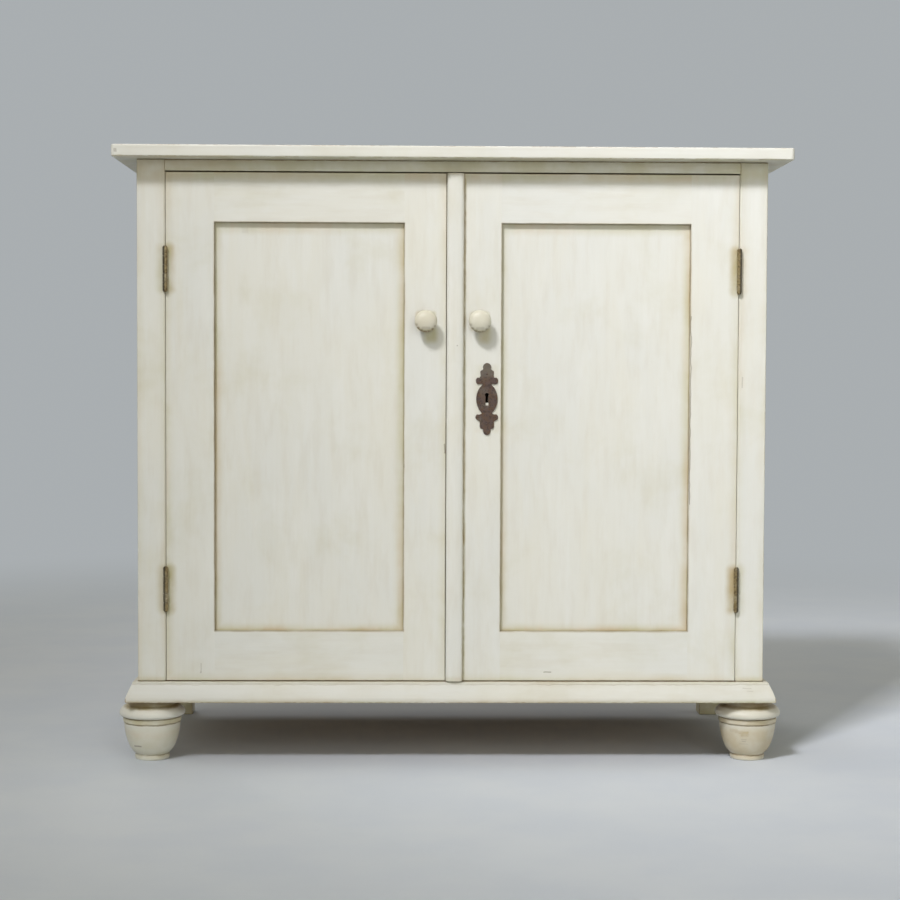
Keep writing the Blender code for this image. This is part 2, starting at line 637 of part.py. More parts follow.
def buildHinges(leftAxis, rightAxis):
    pitch = HINGE_LENGTH / KNUCKLE_COUNT
    bottom = -HINGE_LENGTH / 2
    templates = {}
    for kind, hand, own in (("frame", 1, (0, 2, 4)), ("door", -1, (1, 3))):
        plate = prism(leafOutline(own), "X", hand * LEAF_CLEARANCE, hand * LEAF_OUTER)
        leaf = addObject("hinge_" + kind + "_template", plate, brass, origin=(0, 0, 0), smooth=True)
        for index in own:
            low = bottom + pitch * index + SEAT
            high = bottom + pitch * (index + 1) - SEAT
            join(leaf, rod(KNUCKLE_RADIUS, low, high, KNUCKLE_FACETS))
        cut(leaf, rod(KNUCKLE_BORE_RADIUS, bottom - CUT_OVERRUN, CUT_OVERRUN - bottom, KNUCKLE_FACETS))
        holeRow = KNUCKLE_RADIUS + KNUCKLE_FACE_CLEARANCE + LEAF_WIDTH / 2
        for order, share in enumerate(LEAF_SCREW_SHARES):
            offset = LEAF_WIDTH * LEAF_SCREW_STAGGER_SHARE * (-1 if order % 2 else 1)
            ends = sorted((0, hand * (LEAF_OUTER + CUT_OVERRUN)))
            cut(leaf, rod(LEAF_SCREW_RADIUS, ends[0], ends[1], LEAF_SCREW_FACETS, "X",
                          (holeRow + offset, HINGE_LENGTH * share)))
        bpy.context.view_layer.update()
        graph = bpy.context.evaluated_depsgraph_get()
        baked = bpy.data.meshes.new_from_object(leaf.evaluated_get(graph))
        for tool in list(leaf.children):
            bpy.data.objects.remove(tool, do_unlink=True)
        bpy.data.objects.remove(leaf, do_unlink=True)
        templates[kind] = baked
    for side, hand, axis in (("left", -1, leftAxis), ("right", 1, rightAxis)):
        for place, level in HINGE_LEVELS.items():
            centre = Vector((hand * HINGE_X, HINGE_Y, level))
            for kind, parent in (("frame", None), ("door", axis)):
                leaf = bpy.data.objects.new(side + "_" + place + "_hinge_" + kind + "_leaf", templates[kind])
                bpy.context.collection.objects.link(leaf)
                leaf.location = centre
                if parent is not None:
                    leaf.parent = parent
                    leaf.location = centre - parent.location
                if hand < 0:
                    leaf.rotation_euler = (0, math.pi, 0)
            buildPin(side + "_" + place + "_hinge_pin", centre)


def buildPin(name, centre):
    radius = KNUCKLE_BORE_RADIUS - RUNNING
    seat = HINGE_LENGTH / 2
    crown = seat + PIN_HEAD_HEIGHT
    half = [(radius, seat), (PIN_HEAD_RADIUS, seat), (PIN_HEAD_RADIUS, (seat + crown) / 2), (radius, crown)]
    profile = [(across, -up) for across, up in reversed(half)] + half
    mesh = turned(profile, KNUCKLE_FACETS)
    bmesh.ops.translate(mesh, verts=mesh.verts, vec=centre)
    addObject(name, mesh, brass, origin=centre, smooth=True)


def keyholeOutline(centre, radius, drop, width):
    """A round eye with a flared stem below it, as pairs of X and Z."""
    shoulder = math.asin(width / 2 * KEYHOLE_NECK_SHARE / radius)
    count = KEYHOLE_FACETS
    sweep = math.tau - 2 * shoulder
    first = -math.pi / 2 + shoulder
    eye = [(centre[0] + radius * math.cos(first + sweep * step / count),
            centre[1] + radius * math.sin(first + sweep * step / count)) for step in range(count + 1)]
    foot = [(centre[0] - width / 2, centre[1] - drop), (centre[0] + width / 2, centre[1] - drop)]
    return eye + foot


def buildEscutcheon(stile, axis):
    right = []
    for acrossShare, upShare, wideShare, tallShare, first, last, count in PLATE_ARC_SHARES:
        for step in range(count):
            turn = math.radians(first + (last - first) * step / (count - 1))
            right.append(((acrossShare + wideShare * math.cos(turn)) * PLATE_HALF_WIDTH,
                          (upShare + tallShare * math.sin(turn)) * PLATE_HALF_HEIGHT))
    whole = right + [(-across, up) for across, up in reversed(right[1:-1])]
    outline = [(KEYHOLE_OFFSET + across, LOCK_LEVEL + up) for across, up in whole]
    plate = addObject("escutcheon", prism(outline, "Y", FRONT_Y - SEAT - PLATE_THICKNESS, FRONT_Y - SEAT), iron, axis)
    rounded(plate, PLATE_ROUND, 1)
    eye = (KEYHOLE_OFFSET, LOCK_LEVEL + KEYHOLE_RISE)
    hole = keyholeOutline(eye, KEYHOLE_RADIUS, KEYHOLE_STEM_DROP, KEYHOLE_STEM_WIDTH)
    cut(plate, prism(hole, "Y", FRONT_Y - PLATE_THICKNESS - CUT_OVERRUN, FRONT_Y + CUT_OVERRUN))
    inner = keyholeOutline(eye, KEYHOLE_RADIUS, DOOR_KEYHOLE_STEM_DROP, KEYHOLE_STEM_WIDTH)
    cut(stile, prism(inner, "Y", FRONT_Y - CUT_OVERRUN, DOOR_BACK_Y + CUT_OVERRUN))


def buildLock(leftAxis, rightAxis):
    edge = doorEdges("right", 1)[1] + CASE_EDGE_SETBACK
    front = DOOR_BACK_Y + SEAT
    back = front + CASE_DEPTH
    low, high = LOCK_LEVEL - CASE_HEIGHT / 2, LOCK_LEVEL + CASE_HEIGHT / 2
    case = addObject("lock_case", box((edge, edge + CASE_WIDTH), (front, back), (low, high)), iron, rightAxis)
    rounded(case, CASE_ROUND, 1)
    cut(case, box((edge + CASE_WALL, edge + CASE_WIDTH - CASE_WALL), (front - CUT_OVERRUN, back - CASE_WALL),
                  (low + CASE_WALL, high - CASE_WALL)))
    boltBack = back - CASE_WALL - RUNNING
    boltFront = boltBack - BOLT_THICKNESS
    boltLow, boltHigh = LOCK_LEVEL - BOLT_HEIGHT / 2, LOCK_LEVEL + BOLT_HEIGHT / 2
    cut(case, box((edge - CUT_OVERRUN, edge + CASE_WALL + CUT_OVERRUN), (boltFront - RUNNING, boltBack + RUNNING),
                  (boltLow - RUNNING, boltHigh + RUNNING)))
    eye = (KEYHOLE_OFFSET, LOCK_LEVEL + KEYHOLE_RISE)
    join(case, rod(KEY_POST_RADIUS, back - CASE_WALL - KEY_POST_REACH, back - CASE_WALL / 2, KEY_POST_FACETS, "Y", eye))
    bolt = box((edge, edge + BOLT_LENGTH), (boltFront, boltBack), (boltLow, boltHigh))
    addObject("lock_bolt", bolt, iron, rightAxis)
    keeperEdge = doorEdges("left", -1)[1] - KEEPER_SETBACK
    pocket = (boltFront - 2 * RUNNING, boltBack + 2 * RUNNING)
    tall = BOLT_HEIGHT / 2 + 2 * RUNNING
    keeper = addObject("lock_keeper", box((keeperEdge - KEEPER_WIDTH, keeperEdge), (front, pocket[1] + KEEPER_WALL),
                       (LOCK_LEVEL - tall - KEEPER_WALL, LOCK_LEVEL + tall + KEEPER_WALL)), iron, leftAxis)
    cut(keeper, box((keeperEdge - KEEPER_WIDTH - CUT_OVERRUN, keeperEdge + CUT_OVERRUN), pocket,
                    (LOCK_LEVEL - tall, LOCK_LEVEL + tall)))


def slideCentre():
    return (-SLIDE_OFFSET, DOOR_BACK_Y + SEAT + SLIDE_PLATE_THICKNESS + SLIDE_ROD_CENTRE)


def slideSocket(mouth, way):
    """The blind hole that a slide bolt enters. way is 1 where it opens downwards and -1 upwards."""
    radius = SLIDE_ROD_RADIUS + SOCKET_CLEARANCE
    depth = SLIDE_TRAVEL - SLIDE_ROD_END_GAP + SOCKET_CLEARANCE
    ends = sorted((mouth - way * CUT_OVERRUN, mouth + way * depth))
    return rod(radius, ends[0], ends[1], SLIDE_FACETS, centre=slideCentre())


def buildSlideBolt(part, mouth, way, axis):
    """A plate with two guides and a rod in them. way is 1 where the rod slides up and -1 down."""
    x, y = slideCentre()
    front = DOOR_BACK_Y + SEAT
    near = mouth - way * SLIDE_PLATE_SETBACK
    far = near - way * SLIDE_PLATE_LENGTH
    half = SLIDE_PLATE_WIDTH / 2
    mesh = box((x - half, x + half), (front, front + SLIDE_PLATE_THICKNESS), sorted((near, far)))
    plate = addObject(part + "_bolt_plate", mesh, iron, axis)
    bore = SLIDE_ROD_RADIUS + RUNNING
    guideHalf = SLIDE_GUIDE_WIDTH / 2
    guideBack = y + bore + SLIDE_GUIDE_WALL
    inset = SLIDE_PLATE_THICKNESS / 2
    for end, turn in ((near, -way), (far, way)):
        levels = sorted((end + turn * inset, end + turn * (inset + SLIDE_GUIDE_LENGTH)))
        join(plate, box((x - guideHalf, x + guideHalf), (front + inset, guideBack), levels))
    ends = sorted((near + way * CUT_OVERRUN, far - way * CUT_OVERRUN))
    cut(plate, rod(bore, ends[0], ends[1], SLIDE_FACETS, centre=(x, y)))
    tip = mouth - way * SLIDE_ROD_END_GAP
    tail = far - way * SLIDE_ROD_TAIL
    ends = sorted((tip, tail))
    bolt = addObject(part + "_bolt", rod(SLIDE_ROD_RADIUS, ends[0], ends[1], SLIDE_FACETS, centre=(x, y)),
                     iron, axis, smooth=True)
    level = far + way * (inset + SLIDE_GUIDE_LENGTH + SLIDE_KNOB_SEAT)
    join(bolt, rod(SLIDE_KNOB_RADIUS, y, y + SLIDE_ROD_RADIUS + SLIDE_KNOB_REACH, SLIDE_FACETS, "Y", (x, level)))


def build():
    clearScene()
    leftAxis = axisEmpty("left_door_axis", (-HINGE_X, HINGE_Y, DOOR_BOTTOM))
    rightAxis = axisEmpty("right_door_axis", (HINGE_X, HINGE_Y, DOOR_BOTTOM))
    buildTop()
    buildSides()
    buildFaceFrame()
    buildFloor()
    buildBase()
    buildMouldings()
    buildBack()
    buildShelf()
    buildFeet()
    buildDoor("left", -1, leftAxis, LEFT_MEETING_STILE_WIDTH)
    lockStile = buildDoor("right", 1, rightAxis, RIGHT_MEETING_STILE_WIDTH)
    buildStrip(rightAxis)
    buildHinges(leftAxis, rightAxis)
    buildEscutcheon(lockStile, rightAxis)
    buildLock(leftAxis, rightAxis)
    buildSlideBolt("upper", LIP_BOTTOM, 1, leftAxis)
    buildSlideBolt("lower", FLOOR_TOP, -1, leftAxis)
    bpy.context.view_layer.update()


build()
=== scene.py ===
import json
import math

import bmesh
import bpy
from mathutils import Matrix, Vector, noise


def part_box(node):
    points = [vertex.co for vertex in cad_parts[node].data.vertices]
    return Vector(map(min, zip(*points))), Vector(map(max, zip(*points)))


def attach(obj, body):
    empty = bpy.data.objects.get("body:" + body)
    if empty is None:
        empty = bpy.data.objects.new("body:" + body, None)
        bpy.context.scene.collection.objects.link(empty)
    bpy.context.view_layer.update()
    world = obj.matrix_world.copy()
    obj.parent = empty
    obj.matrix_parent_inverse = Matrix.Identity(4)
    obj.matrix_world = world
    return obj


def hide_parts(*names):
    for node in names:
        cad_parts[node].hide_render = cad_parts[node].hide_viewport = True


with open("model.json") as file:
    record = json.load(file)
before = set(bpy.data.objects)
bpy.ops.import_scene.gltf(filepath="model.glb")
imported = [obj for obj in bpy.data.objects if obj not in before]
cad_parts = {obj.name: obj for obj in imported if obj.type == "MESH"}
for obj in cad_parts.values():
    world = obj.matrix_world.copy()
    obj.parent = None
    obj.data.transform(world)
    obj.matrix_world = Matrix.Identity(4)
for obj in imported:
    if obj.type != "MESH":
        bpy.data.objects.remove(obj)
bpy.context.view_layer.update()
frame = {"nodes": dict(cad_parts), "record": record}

print("frame loaded:", len(frame["nodes"]), "nodes")

mm = 0.001
bodyOf = {node: body for body, nodes in frame["record"]["behaviour"]["bodies"].items() for node in nodes}
sides = (("left", -1), ("right", 1))
levels = ("upper", "lower")

# Planes and places of the carcass and doors, read from the frame
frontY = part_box("left_front_stile")[0].y
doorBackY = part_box("left_door_hinge_stile")[1].y
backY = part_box("left_side")[1].y
bodyInside, bodyHalf = (corner.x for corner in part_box("right_side"))
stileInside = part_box("right_front_stile")[0].x
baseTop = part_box("base_left_rail")[1].z
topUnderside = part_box("top_board")[0].z
doorLow, doorHigh = (corner.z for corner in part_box("left_door_hinge_stile"))


def middleOf(node):
    return sum(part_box(node), Vector()) / 2


def boxRound(*nodes):
    boxes = [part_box(node) for node in nodes]
    return (Vector([min(low[axis] for low, high in boxes) for axis in range(3)]),
            Vector([max(high[axis] for low, high in boxes) for axis in range(3)]))


# The opening round a door's panel, from corner to corner
def openingOf(side):
    stiles = (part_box(side + "_door_" + part + "_stile") for part in ("hinge", "meeting"))
    first, second = sorted(stiles, key=lambda box: box[0].x)
    low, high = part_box(side + "_door_bottom_rail")[1].z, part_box(side + "_door_top_rail")[0].z
    return Vector((first[1].x, frontY, low)), Vector((second[0].x, frontY, high))


openings = {side: openingOf(side) for side, hand in sides}
knobs = {side: middleOf(side + "_knob") for side, hand in sides}
hinges = {(side, level): middleOf(side + "_" + level + "_hinge_pin")
          for side, hand in sides for level in levels}
plateMiddle = middleOf("escutcheon")


def camel(name):
    first, *rest = name.split("_")
    return first + "".join(word.capitalize() for word in rest)


def linked(name, data):
    item = bpy.data.objects.new(name, data)
    bpy.context.scene.collection.objects.link(item)
    return item


# Camera: where the photograph was taken from
cameraSet = {
    "place": Vector((-0.0651, frontY - 3.0544, 0.6343)),
    "yaw": 0.0201,
    "pitch": -0.0437,
    "roll": 0.0040,
    "focalPixels": 1920.6,
    "imagePixels": 900,
    "sensor": 36.0,
}


def buildCamera(given):
    yaw, pitch, roll = given["yaw"], given["pitch"], given["roll"]
    ahead = Vector((math.sin(yaw) * math.cos(pitch), math.cos(yaw) * math.cos(pitch), math.sin(pitch)))
    level = Vector((math.cos(yaw), -math.sin(yaw), 0))
    upward = level.cross(ahead)
    right = level * math.cos(roll) + upward * math.sin(roll)
    up = upward * math.cos(roll) - level * math.sin(roll)
    data = bpy.data.cameras.new("camera")
    data.sensor_fit = "HORIZONTAL"
    data.sensor_width = given["sensor"]
    data.lens = given["sensor"] * given["focalPixels"] / given["imagePixels"]
    data.clip_start = 0.05
    data.clip_end = 60
    camera = linked("camera", data)
    turn = Matrix((right, up, -ahead)).transposed()
    camera.matrix_world = Matrix.Translation(given["place"]) @ turn.to_4x4()
    bpy.context.scene.camera = camera


buildCamera(cameraSet)


# Small helpers for shader and geometry trees
class Wiring:
    def __init__(self, tree):
        self.tree = tree

    def put(self, socket, value):
        if isinstance(value, bpy.types.NodeSocket):
            self.tree.links.new(value, socket)
        elif value is not None:
            socket.default_value = value

    # A new node: first its settings, then its inputs by name or number
    def add(self, kind, given=(), **settings):
        node = self.tree.nodes.new(kind)
        for key, value in settings.items():
            setattr(node, key, value)
        for key, value in dict(given).items():
            self.put(node.inputs[key], value)
        return node

    def math(self, kind, a, b=None, clamp=False):
        return self.add("ShaderNodeMath", {0: a, 1: b}, operation=kind, use_clamp=clamp).outputs[0]

    def times(self, a, b, clamp=False):
        return self.math("MULTIPLY", a, b, clamp)

    def plus(self, a, b):
        return self.math("ADD", a, b)

    def minus(self, a, b):
        return self.math("SUBTRACT", a, b)

    def most(self, a, b):
        return self.math("MAXIMUM", a, b)

    def least(self, a, b):
        return self.math("MINIMUM", a, b)

    def unsigned(self, a):
        return self.math("ABSOLUTE", a)

    def vector(self, kind, a, b=None, scale=None):
        node = self.add("ShaderNodeVectorMath", {0: a, 1: b, 3: scale}, operation=kind)
        return node.outputs["Value" if kind in ("LENGTH", "DOT_PRODUCT") else "Vector"]

    def scaled(self, a, share):
        return self.vector("SCALE", a, scale=share)

    def fade(self, value, start, end, low=0.0, high=1.0):
        given = dict(enumerate((value, start, end, low, high)))
        return self.add("ShaderNodeMapRange", given, interpolation_type="SMOOTHSTEP").outputs[0]

    def noise(self, place, scale, detail=3.0, roughness=0.55, distortion=0.0):
        given = {"Vector": place, "Scale": scale, "Detail": detail, "Roughness": roughness,
                 "Distortion": distortion}
        return self.add("ShaderNodeTexNoise", given).outputs["Fac"]

    def blend(self, share, first, second):
        return self.add("ShaderNodeMix", {0: share, 6: first, 7: second}, data_type="RGBA").outputs[2]

    def between(self, share, first, second):
        return self.add("ShaderNodeMix", {0: share, 2: first, 3: second}, data_type="FLOAT").outputs[0]

    def split(self, place):
        return self.add("ShaderNodeSeparateXYZ", {0: place}).outputs

    def combined(self, x, y, z):
        return self.add("ShaderNodeCombineXYZ", {0: x, 1: y, 2: z}).outputs[0]

    def objectPlace(self):
        return self.add("ShaderNodeTexCoord").outputs["Object"]


# A group takes sockets by kind, or floats by their first value
def newGroup(name, takes, gives, kind="ShaderNodeTree"):
    tree = bpy.data.node_groups.new(name, kind)
    for label, value in takes.items():
        plain = isinstance(value, float)
        socketType = "NodeSocket" + ("Float" if plain else value)
        socket = tree.interface.new_socket(label, in_out="INPUT", socket_type=socketType)
        if plain:
            socket.default_value = value
    for label, value in gives.items():
        tree.interface.new_socket(label, in_out="OUTPUT", socket_type="NodeSocket" + value)
    wire = Wiring(tree)
    return wire, wire.add("NodeGroupInput").outputs, wire.add("NodeGroupOutput").inputs


def closeGroup(wire, give, **values):
    for label, value in values.items():
        wire.put(give[label], value)
    return wire.tree


def useGroup(wire, group, **values):
    return wire.add("ShaderNodeGroup", values, node_tree=group).outputs


def colour(red, green, blue):
    return (red, green, blue, 1.0)


# Noise patterns by name: the place that each follows, then its scale, detail, roughness and distortion
def patterns(wire, places, given):
    return {name: wire.noise(places[way], *values) for name, (way, *values) in given.items()}


def layered(wire, tone, layers):
    for mask, over in layers:
        tone = wire.blend(mask, tone, over)
    return tone


# Distance to the nearest long edge of a board: the middle one of the distances to its three pairs of faces
def edgeDistance(wire, place, low, high):
    inward = wire.vector("MINIMUM", wire.vector("SUBTRACT", place, low), wire.vector("SUBTRACT", high, place))
    x, y, z = wire.split(inward)
    return wire.most(wire.least(x, y), wire.least(wire.most(x, y), z))


# Paint: hand-brushed off-white over pine, rubbed at the edges, with brown wax in the crevices.
# Each layer is a pattern, where it starts and is full, the most that it covers, and its colour.
paintSet = {
    "cream": colour(0.775, 0.762, 0.690),
    "cool": colour(0.742, 0.746, 0.712),
    "warm": colour(0.765, 0.732, 0.618),
    "pale": colour(0.800, 0.795, 0.745),
    "thin": colour(0.560, 0.490, 0.360),
    "wax": colour(0.235, 0.160, 0.075),
    "tan": colour(0.505, 0.455, 0.215),
    "ochre": colour(0.545, 0.415, 0.200),
    "bare": colour(0.330, 0.205, 0.100),
    "mark": colour(0.180, 0.130, 0.080),
    "patterns": {"broad": ("moved", 3.2, 2.0, 0.5), "cloud": ("brushed", 19.0, 4.0, 0.58, 0.5),
                 "streak": ("along", 230.0, 3.0, 0.6), "coarse": ("brushed", 62.0, 3.0, 0.55),
                 "stroke": ("aside", 44.0, 3.0, 0.6), "speck": ("moved", 420.0, 2.0, 0.6),
                 "grimy": ("moved", 8.5, 4.0, 0.62, 0.3), "ragged": ("moved", 95.0, 4.0, 0.65),
                 "patch": ("moved", 22.0, 3.0, 0.6)},
    "layers": [("broad", 0.35, 0.65, 0.55, "cool"), ("cloud", 0.40, 0.72, 0.34, "warm"),
               ("coarse", 0.45, 0.72, 0.13, "thin"), ("stroke", 0.50, 0.70, 0.44, "pale"),
               ("streak", 0.35, 0.72, 0.035, "thin")],
    "grime": 0.17,
    "rubWidth": 2.2 * mm,
    "dirtWidth": 15 * mm,
    "roughness": 0.42,
    "relief": 0.35 * mm,
    "edgeRaggedness": 1.3 * mm,
    "swayScale": 60.0,
    "sway": 4 * mm,
}


def buildPaintGroup(given):
    wire, take, give = newGroup(
        "brushedPaint",
        {"Low": "Vector", "High": "Vector", "Stretch": "Vector", "Shift": "Vector", "Warmth": 0.0,
         "Dirt": 1.0, "Wear": 0.5, "Wax": 0.0, "Halo": 0.0, "Mark": 0.0, "Tone": 1.0},
        {"Colour": "Color", "Roughness": "Float", "Height": "Float"})
    place = wire.objectPlace()
    moved = wire.vector("ADD", place, take["Shift"])
    along = wire.vector("MULTIPLY", moved, take["Stretch"])
    short = wire.vector("ADD", wire.scaled(take["Stretch"], 0.84), (0.16, 0.16, 0.16))
    brushed = wire.vector("MULTIPLY", moved, short)
    aside = wire.vector("ADD", brushed, (3.1, 1.7, 4.3))
    places = {"moved": moved, "along": along, "brushed": brushed, "aside": aside}
    field = patterns(wire, places, given["patterns"])

    tan = wire.blend(wire.fade(field["cloud"], 0.42, 0.62), given["tan"], given["ochre"])
    tone = layered(wire, given["cream"], [(wire.fade(field[name], start, full, 0.0, most), given[over])
                                          for name, start, full, most, over in given["layers"]])
    tone = layered(wire, tone, [(take["Warmth"], given["warm"]),
                                (wire.fade(field["grimy"], 0.48, 0.78, 0.0, given["grime"]), given["tan"])])

    edge = edgeDistance(wire, place, take["Low"], take["High"])
    rubbed = wire.minus(wire.fade(edge, 0.0, given["rubWidth"], 1.0, 0.0),
                        wire.fade(field["ragged"], 0.30, 0.62, 0.95, 0.30))
    rubbed = wire.fade(wire.times(rubbed, take["Wear"]), 0.0, 0.22)
    dirty = wire.times(wire.fade(edge, 0.0, given["dirtWidth"], 0.55, 0.0), take["Dirt"])
    dirty = wire.times(dirty, wire.fade(field["grimy"], 0.25, 0.70, 0.25, 1.0))
    tone = layered(wire, tone, [(dirty, tan), (wire.times(rubbed, 0.85), given["bare"])])

    # Wax, dirt and painted shade: a soft tan halo and a dark line, both broken up by a pattern
    halo = wire.times(take["Halo"], wire.fade(field["patch"], 0.22, 0.68, 0.25, 1.0))
    line = wire.times(take["Wax"], wire.fade(field["patch"], 0.25, 0.66, 0.45, 1.0))
    tone = layered(wire, tone, [(wire.times(mask, most, clamp=True), over) for mask, most, over in (
        (halo, 0.62, tan), (line, 0.85, given["wax"]), (take["Mark"], 0.9, given["mark"]))])

    rough = wire.fade(field["streak"], 0.3, 0.7, given["roughness"] - 0.05, given["roughness"] + 0.06)
    rough = wire.plus(rough, wire.times(rubbed, 0.25))
    height = wire.plus(wire.times(field["streak"], 0.32), wire.times(field["coarse"], 0.55))
    height = wire.plus(height, wire.times(field["speck"], 0.10))
    height = wire.minus(height, wire.times(rubbed, 0.35))
    height = wire.minus(height, wire.times(take["Mark"], 1.2))
    return closeGroup(wire, give, Colour=wire.scaled(tone, take["Tone"]), Roughness=rough, Height=height)


# A soft-edged box: 1 inside, fading to 0 over its soft width. It places wax, halos, chips, stains and painted
# shade.
def buildSmudgeGroup():
    wire, take, give = newGroup(
        "smudge",
        {"Place": "Vector", "Centre": "Vector", "Half": "Vector", "Soft": 4 * mm, "Strength": 1.0},
        {"Mask": "Float"})
    away = wire.vector("ABSOLUTE", wire.vector("SUBTRACT", take["Place"], take["Centre"]))
    away = wire.vector("MAXIMUM", wire.vector("SUBTRACT", away, take["Half"]), (0.0, 0.0, 0.0))
    inside = wire.fade(wire.vector("LENGTH", away), 0.0, take["Soft"], 1.0, 0.0)
    return closeGroup(wire, give, Mask=wire.times(inside, take["Strength"]))


# Wax and halo along the four edges of a panel opening. Upright edges hold more wax than level ones.
def buildRimGroup():
    wire, take, give = newGroup(
        "panelRim",
        {"Place": "Vector", "Low": "Vector", "High": "Vector", "Line": 1.7 * mm, "Reach": 6 * mm},
        {"Line": "Float", "Halo": "Float"})
    fromLow = wire.split(wire.vector("SUBTRACT", take["Place"], take["Low"]))
    fromHigh = wire.split(wire.vector("SUBTRACT", take["High"], take["Place"]))
    across, up = (wire.least(fromLow[axis], fromHigh[axis]) for axis in (0, 2))
    beyondAcross, beyondUp = (wire.most(wire.times(inward, -1.0), 0.0) for inward in (across, up))
    upright = wire.plus(wire.unsigned(across), beyondUp)
    level = wire.plus(wire.unsigned(up), beyondAcross)
    masks = {}
    for name, width, levelShare in (("Line", take["Line"], 0.85), ("Halo", take["Reach"], 0.90)):
        masks[name] = wire.most(wire.fade(upright, 0.0, width, 1.0, 0.0),
                                wire.times(wire.fade(level, 0.0, width, 1.0, 0.0), levelShare))
    return closeGroup(wire, give, **masks)


# Bare pine: growth rings stretched along the grain, knots, fibre and old grime
pineSet = {
    "early": colour(0.520, 0.350, 0.180),
    "late": colour(0.310, 0.165, 0.065),
    "grey": colour(0.290, 0.225, 0.155),
    "knot": colour(0.130, 0.066, 0.028),
    "patterns": {"sway": ("along", 7.0, 2.0, 0.5), "ripple": ("along", 34.0, 2.0, 0.5),
                 "fibre": ("along", 520.0, 3.0, 0.65), "broad": ("moved", 4.0, 2.0),
                 "bands": ("along", 15.0, 2.0)},
    "sway": 105 * mm,
    "ripple": 17 * mm,
    "knotBulge": 30 * mm,
    "knotScale": 4.6,
    "ringPitch": 8.5 * mm,
    "dirtWidth": 30 * mm,
    "roughness": 0.58,
    "relief": 0.4 * mm,
}


def buildPineGroup(given):
    wire, take, give = newGroup(
        "oldPine",
        {"Low": "Vector", "High": "Vector", "Stretch": "Vector", "Across": "Vector", "Shift": "Vector",
         "Grime": 0.5},
        {"Colour": "Color", "Roughness": "Float", "Height": "Float"})
    place = wire.objectPlace()
    moved = wire.vector("ADD", place, take["Shift"])
    along = wire.vector("MULTIPLY", moved, take["Stretch"])
    field = patterns(wire, {"moved": moved, "along": along}, given["patterns"])
    short = wire.vector("ADD", wire.scaled(take["Stretch"], 0.50), (0.50, 0.50, 0.50))
    cell = wire.add("ShaderNodeTexVoronoi", {"Vector": wire.vector("MULTIPLY", moved, short),
                                             "Scale": given["knotScale"]})
    far = cell.outputs["Distance"]
    bulge = wire.times(wire.fade(far, 0.0, 0.42, 1.0, 0.0), given["knotBulge"])
    across = wire.vector("DOT_PRODUCT", moved, take["Across"])
    warp = wire.plus(wire.times(field["sway"], given["sway"]), wire.times(field["ripple"], given["ripple"]))
    phase = wire.times(wire.plus(wire.plus(across, warp), bulge), math.tau / given["ringPitch"])
    ring = wire.fade(wire.math("SINE", phase), 0.05, 1.0)
    edge = edgeDistance(wire, place, take["Low"], take["High"])
    dirt = wire.times(wire.fade(edge, 0.0, given["dirtWidth"], 1.0, 0.25), take["Grime"])
    tone = layered(wire, given["early"], [
        (wire.times(ring, wire.fade(field["bands"], 0.3, 0.7, 0.35, 0.80)), given["late"]),
        (wire.fade(field["broad"], 0.35, 0.7, 0.0, 0.35), given["late"]),
        (wire.fade(field["fibre"], 0.35, 0.75, 0.0, 0.30), given["grey"]),
        (wire.times(wire.fade(far, 0.045, 0.085, 1.0, 0.0), 0.85), given["knot"]),
        (wire.times(dirt, field["broad"]), given["knot"])])
    rough = wire.fade(field["fibre"], 0.3, 0.7, given["roughness"], given["roughness"] + 0.12)
    height = wire.plus(wire.times(field["fibre"], 0.6), wire.times(ring, 0.30))
    return closeGroup(wire, give, Colour=tone, Roughness=rough, Height=height)


paintGroup = buildPaintGroup(paintSet)
smudgeGroup = buildSmudgeGroup()
rimGroup = buildRimGroup()
pineGroup = buildPineGroup(pineSet)
print("node groups built")

# How the grain lies: stretch of the patterns, and the direction across the growth rings
grains = {
    "X": {"Stretch": (0.045, 1.0, 1.0), "Across": (0.0, 0.55, 1.0)},
    "Y": {"Stretch": (1.0, 0.045, 1.0), "Across": (1.0, 0.0, 0.45)},
    "Z": {"Stretch": (1.0, 1.0, 0.045), "Across": (1.0, 0.35, 0.0)},
    "turned": {"Stretch": (0.10, 0.10, 1.0), "Across": (1.0, 0.35, 0.0)},
}


def newMaterial(name):
    made = bpy.data.materials.new(name)
    made.use_nodes = True
    made.node_tree.nodes.clear()
    wire = Wiring(made.node_tree)
    shader = wire.add("ShaderNodeBsdfPrincipled")
    wire.add("ShaderNodeOutputMaterial", {"Surface": shader.outputs["BSDF"]})
    return made, wire, shader


def dress(wire, shader, tone, rough, height, depth):
    bump = wire.add("ShaderNodeBump", {"Strength": 1.0, "Distance": depth, "Height": height})
    for label, value in (("Base Color", tone), ("Roughness", rough), ("Normal", bump.outputs["Normal"])):
        wire.put(shader.inputs[label], value)


def shiftFor(name):
    seed = sum((index + 1) * ord(letter) for index, letter in enumerate(name))
    return Vector((seed * 0.37 % 5, seed * 0.53 % 5, seed * 0.71 % 5))


def larger(wire, first, second):
    if first is None or second is None:
        return second if first is None else first
    return wire.most(first, second)


def smudgeMask(wire, place, smudges):
    mask = None
    for centre, half, soft, strength in smudges:
        values = {"Place": place, "Centre": centre, "Half": half, "Soft": soft, "Strength": strength}
        mask = larger(wire, mask, useGroup(wire, smudgeGroup, **values)["Mask"])
    return mask
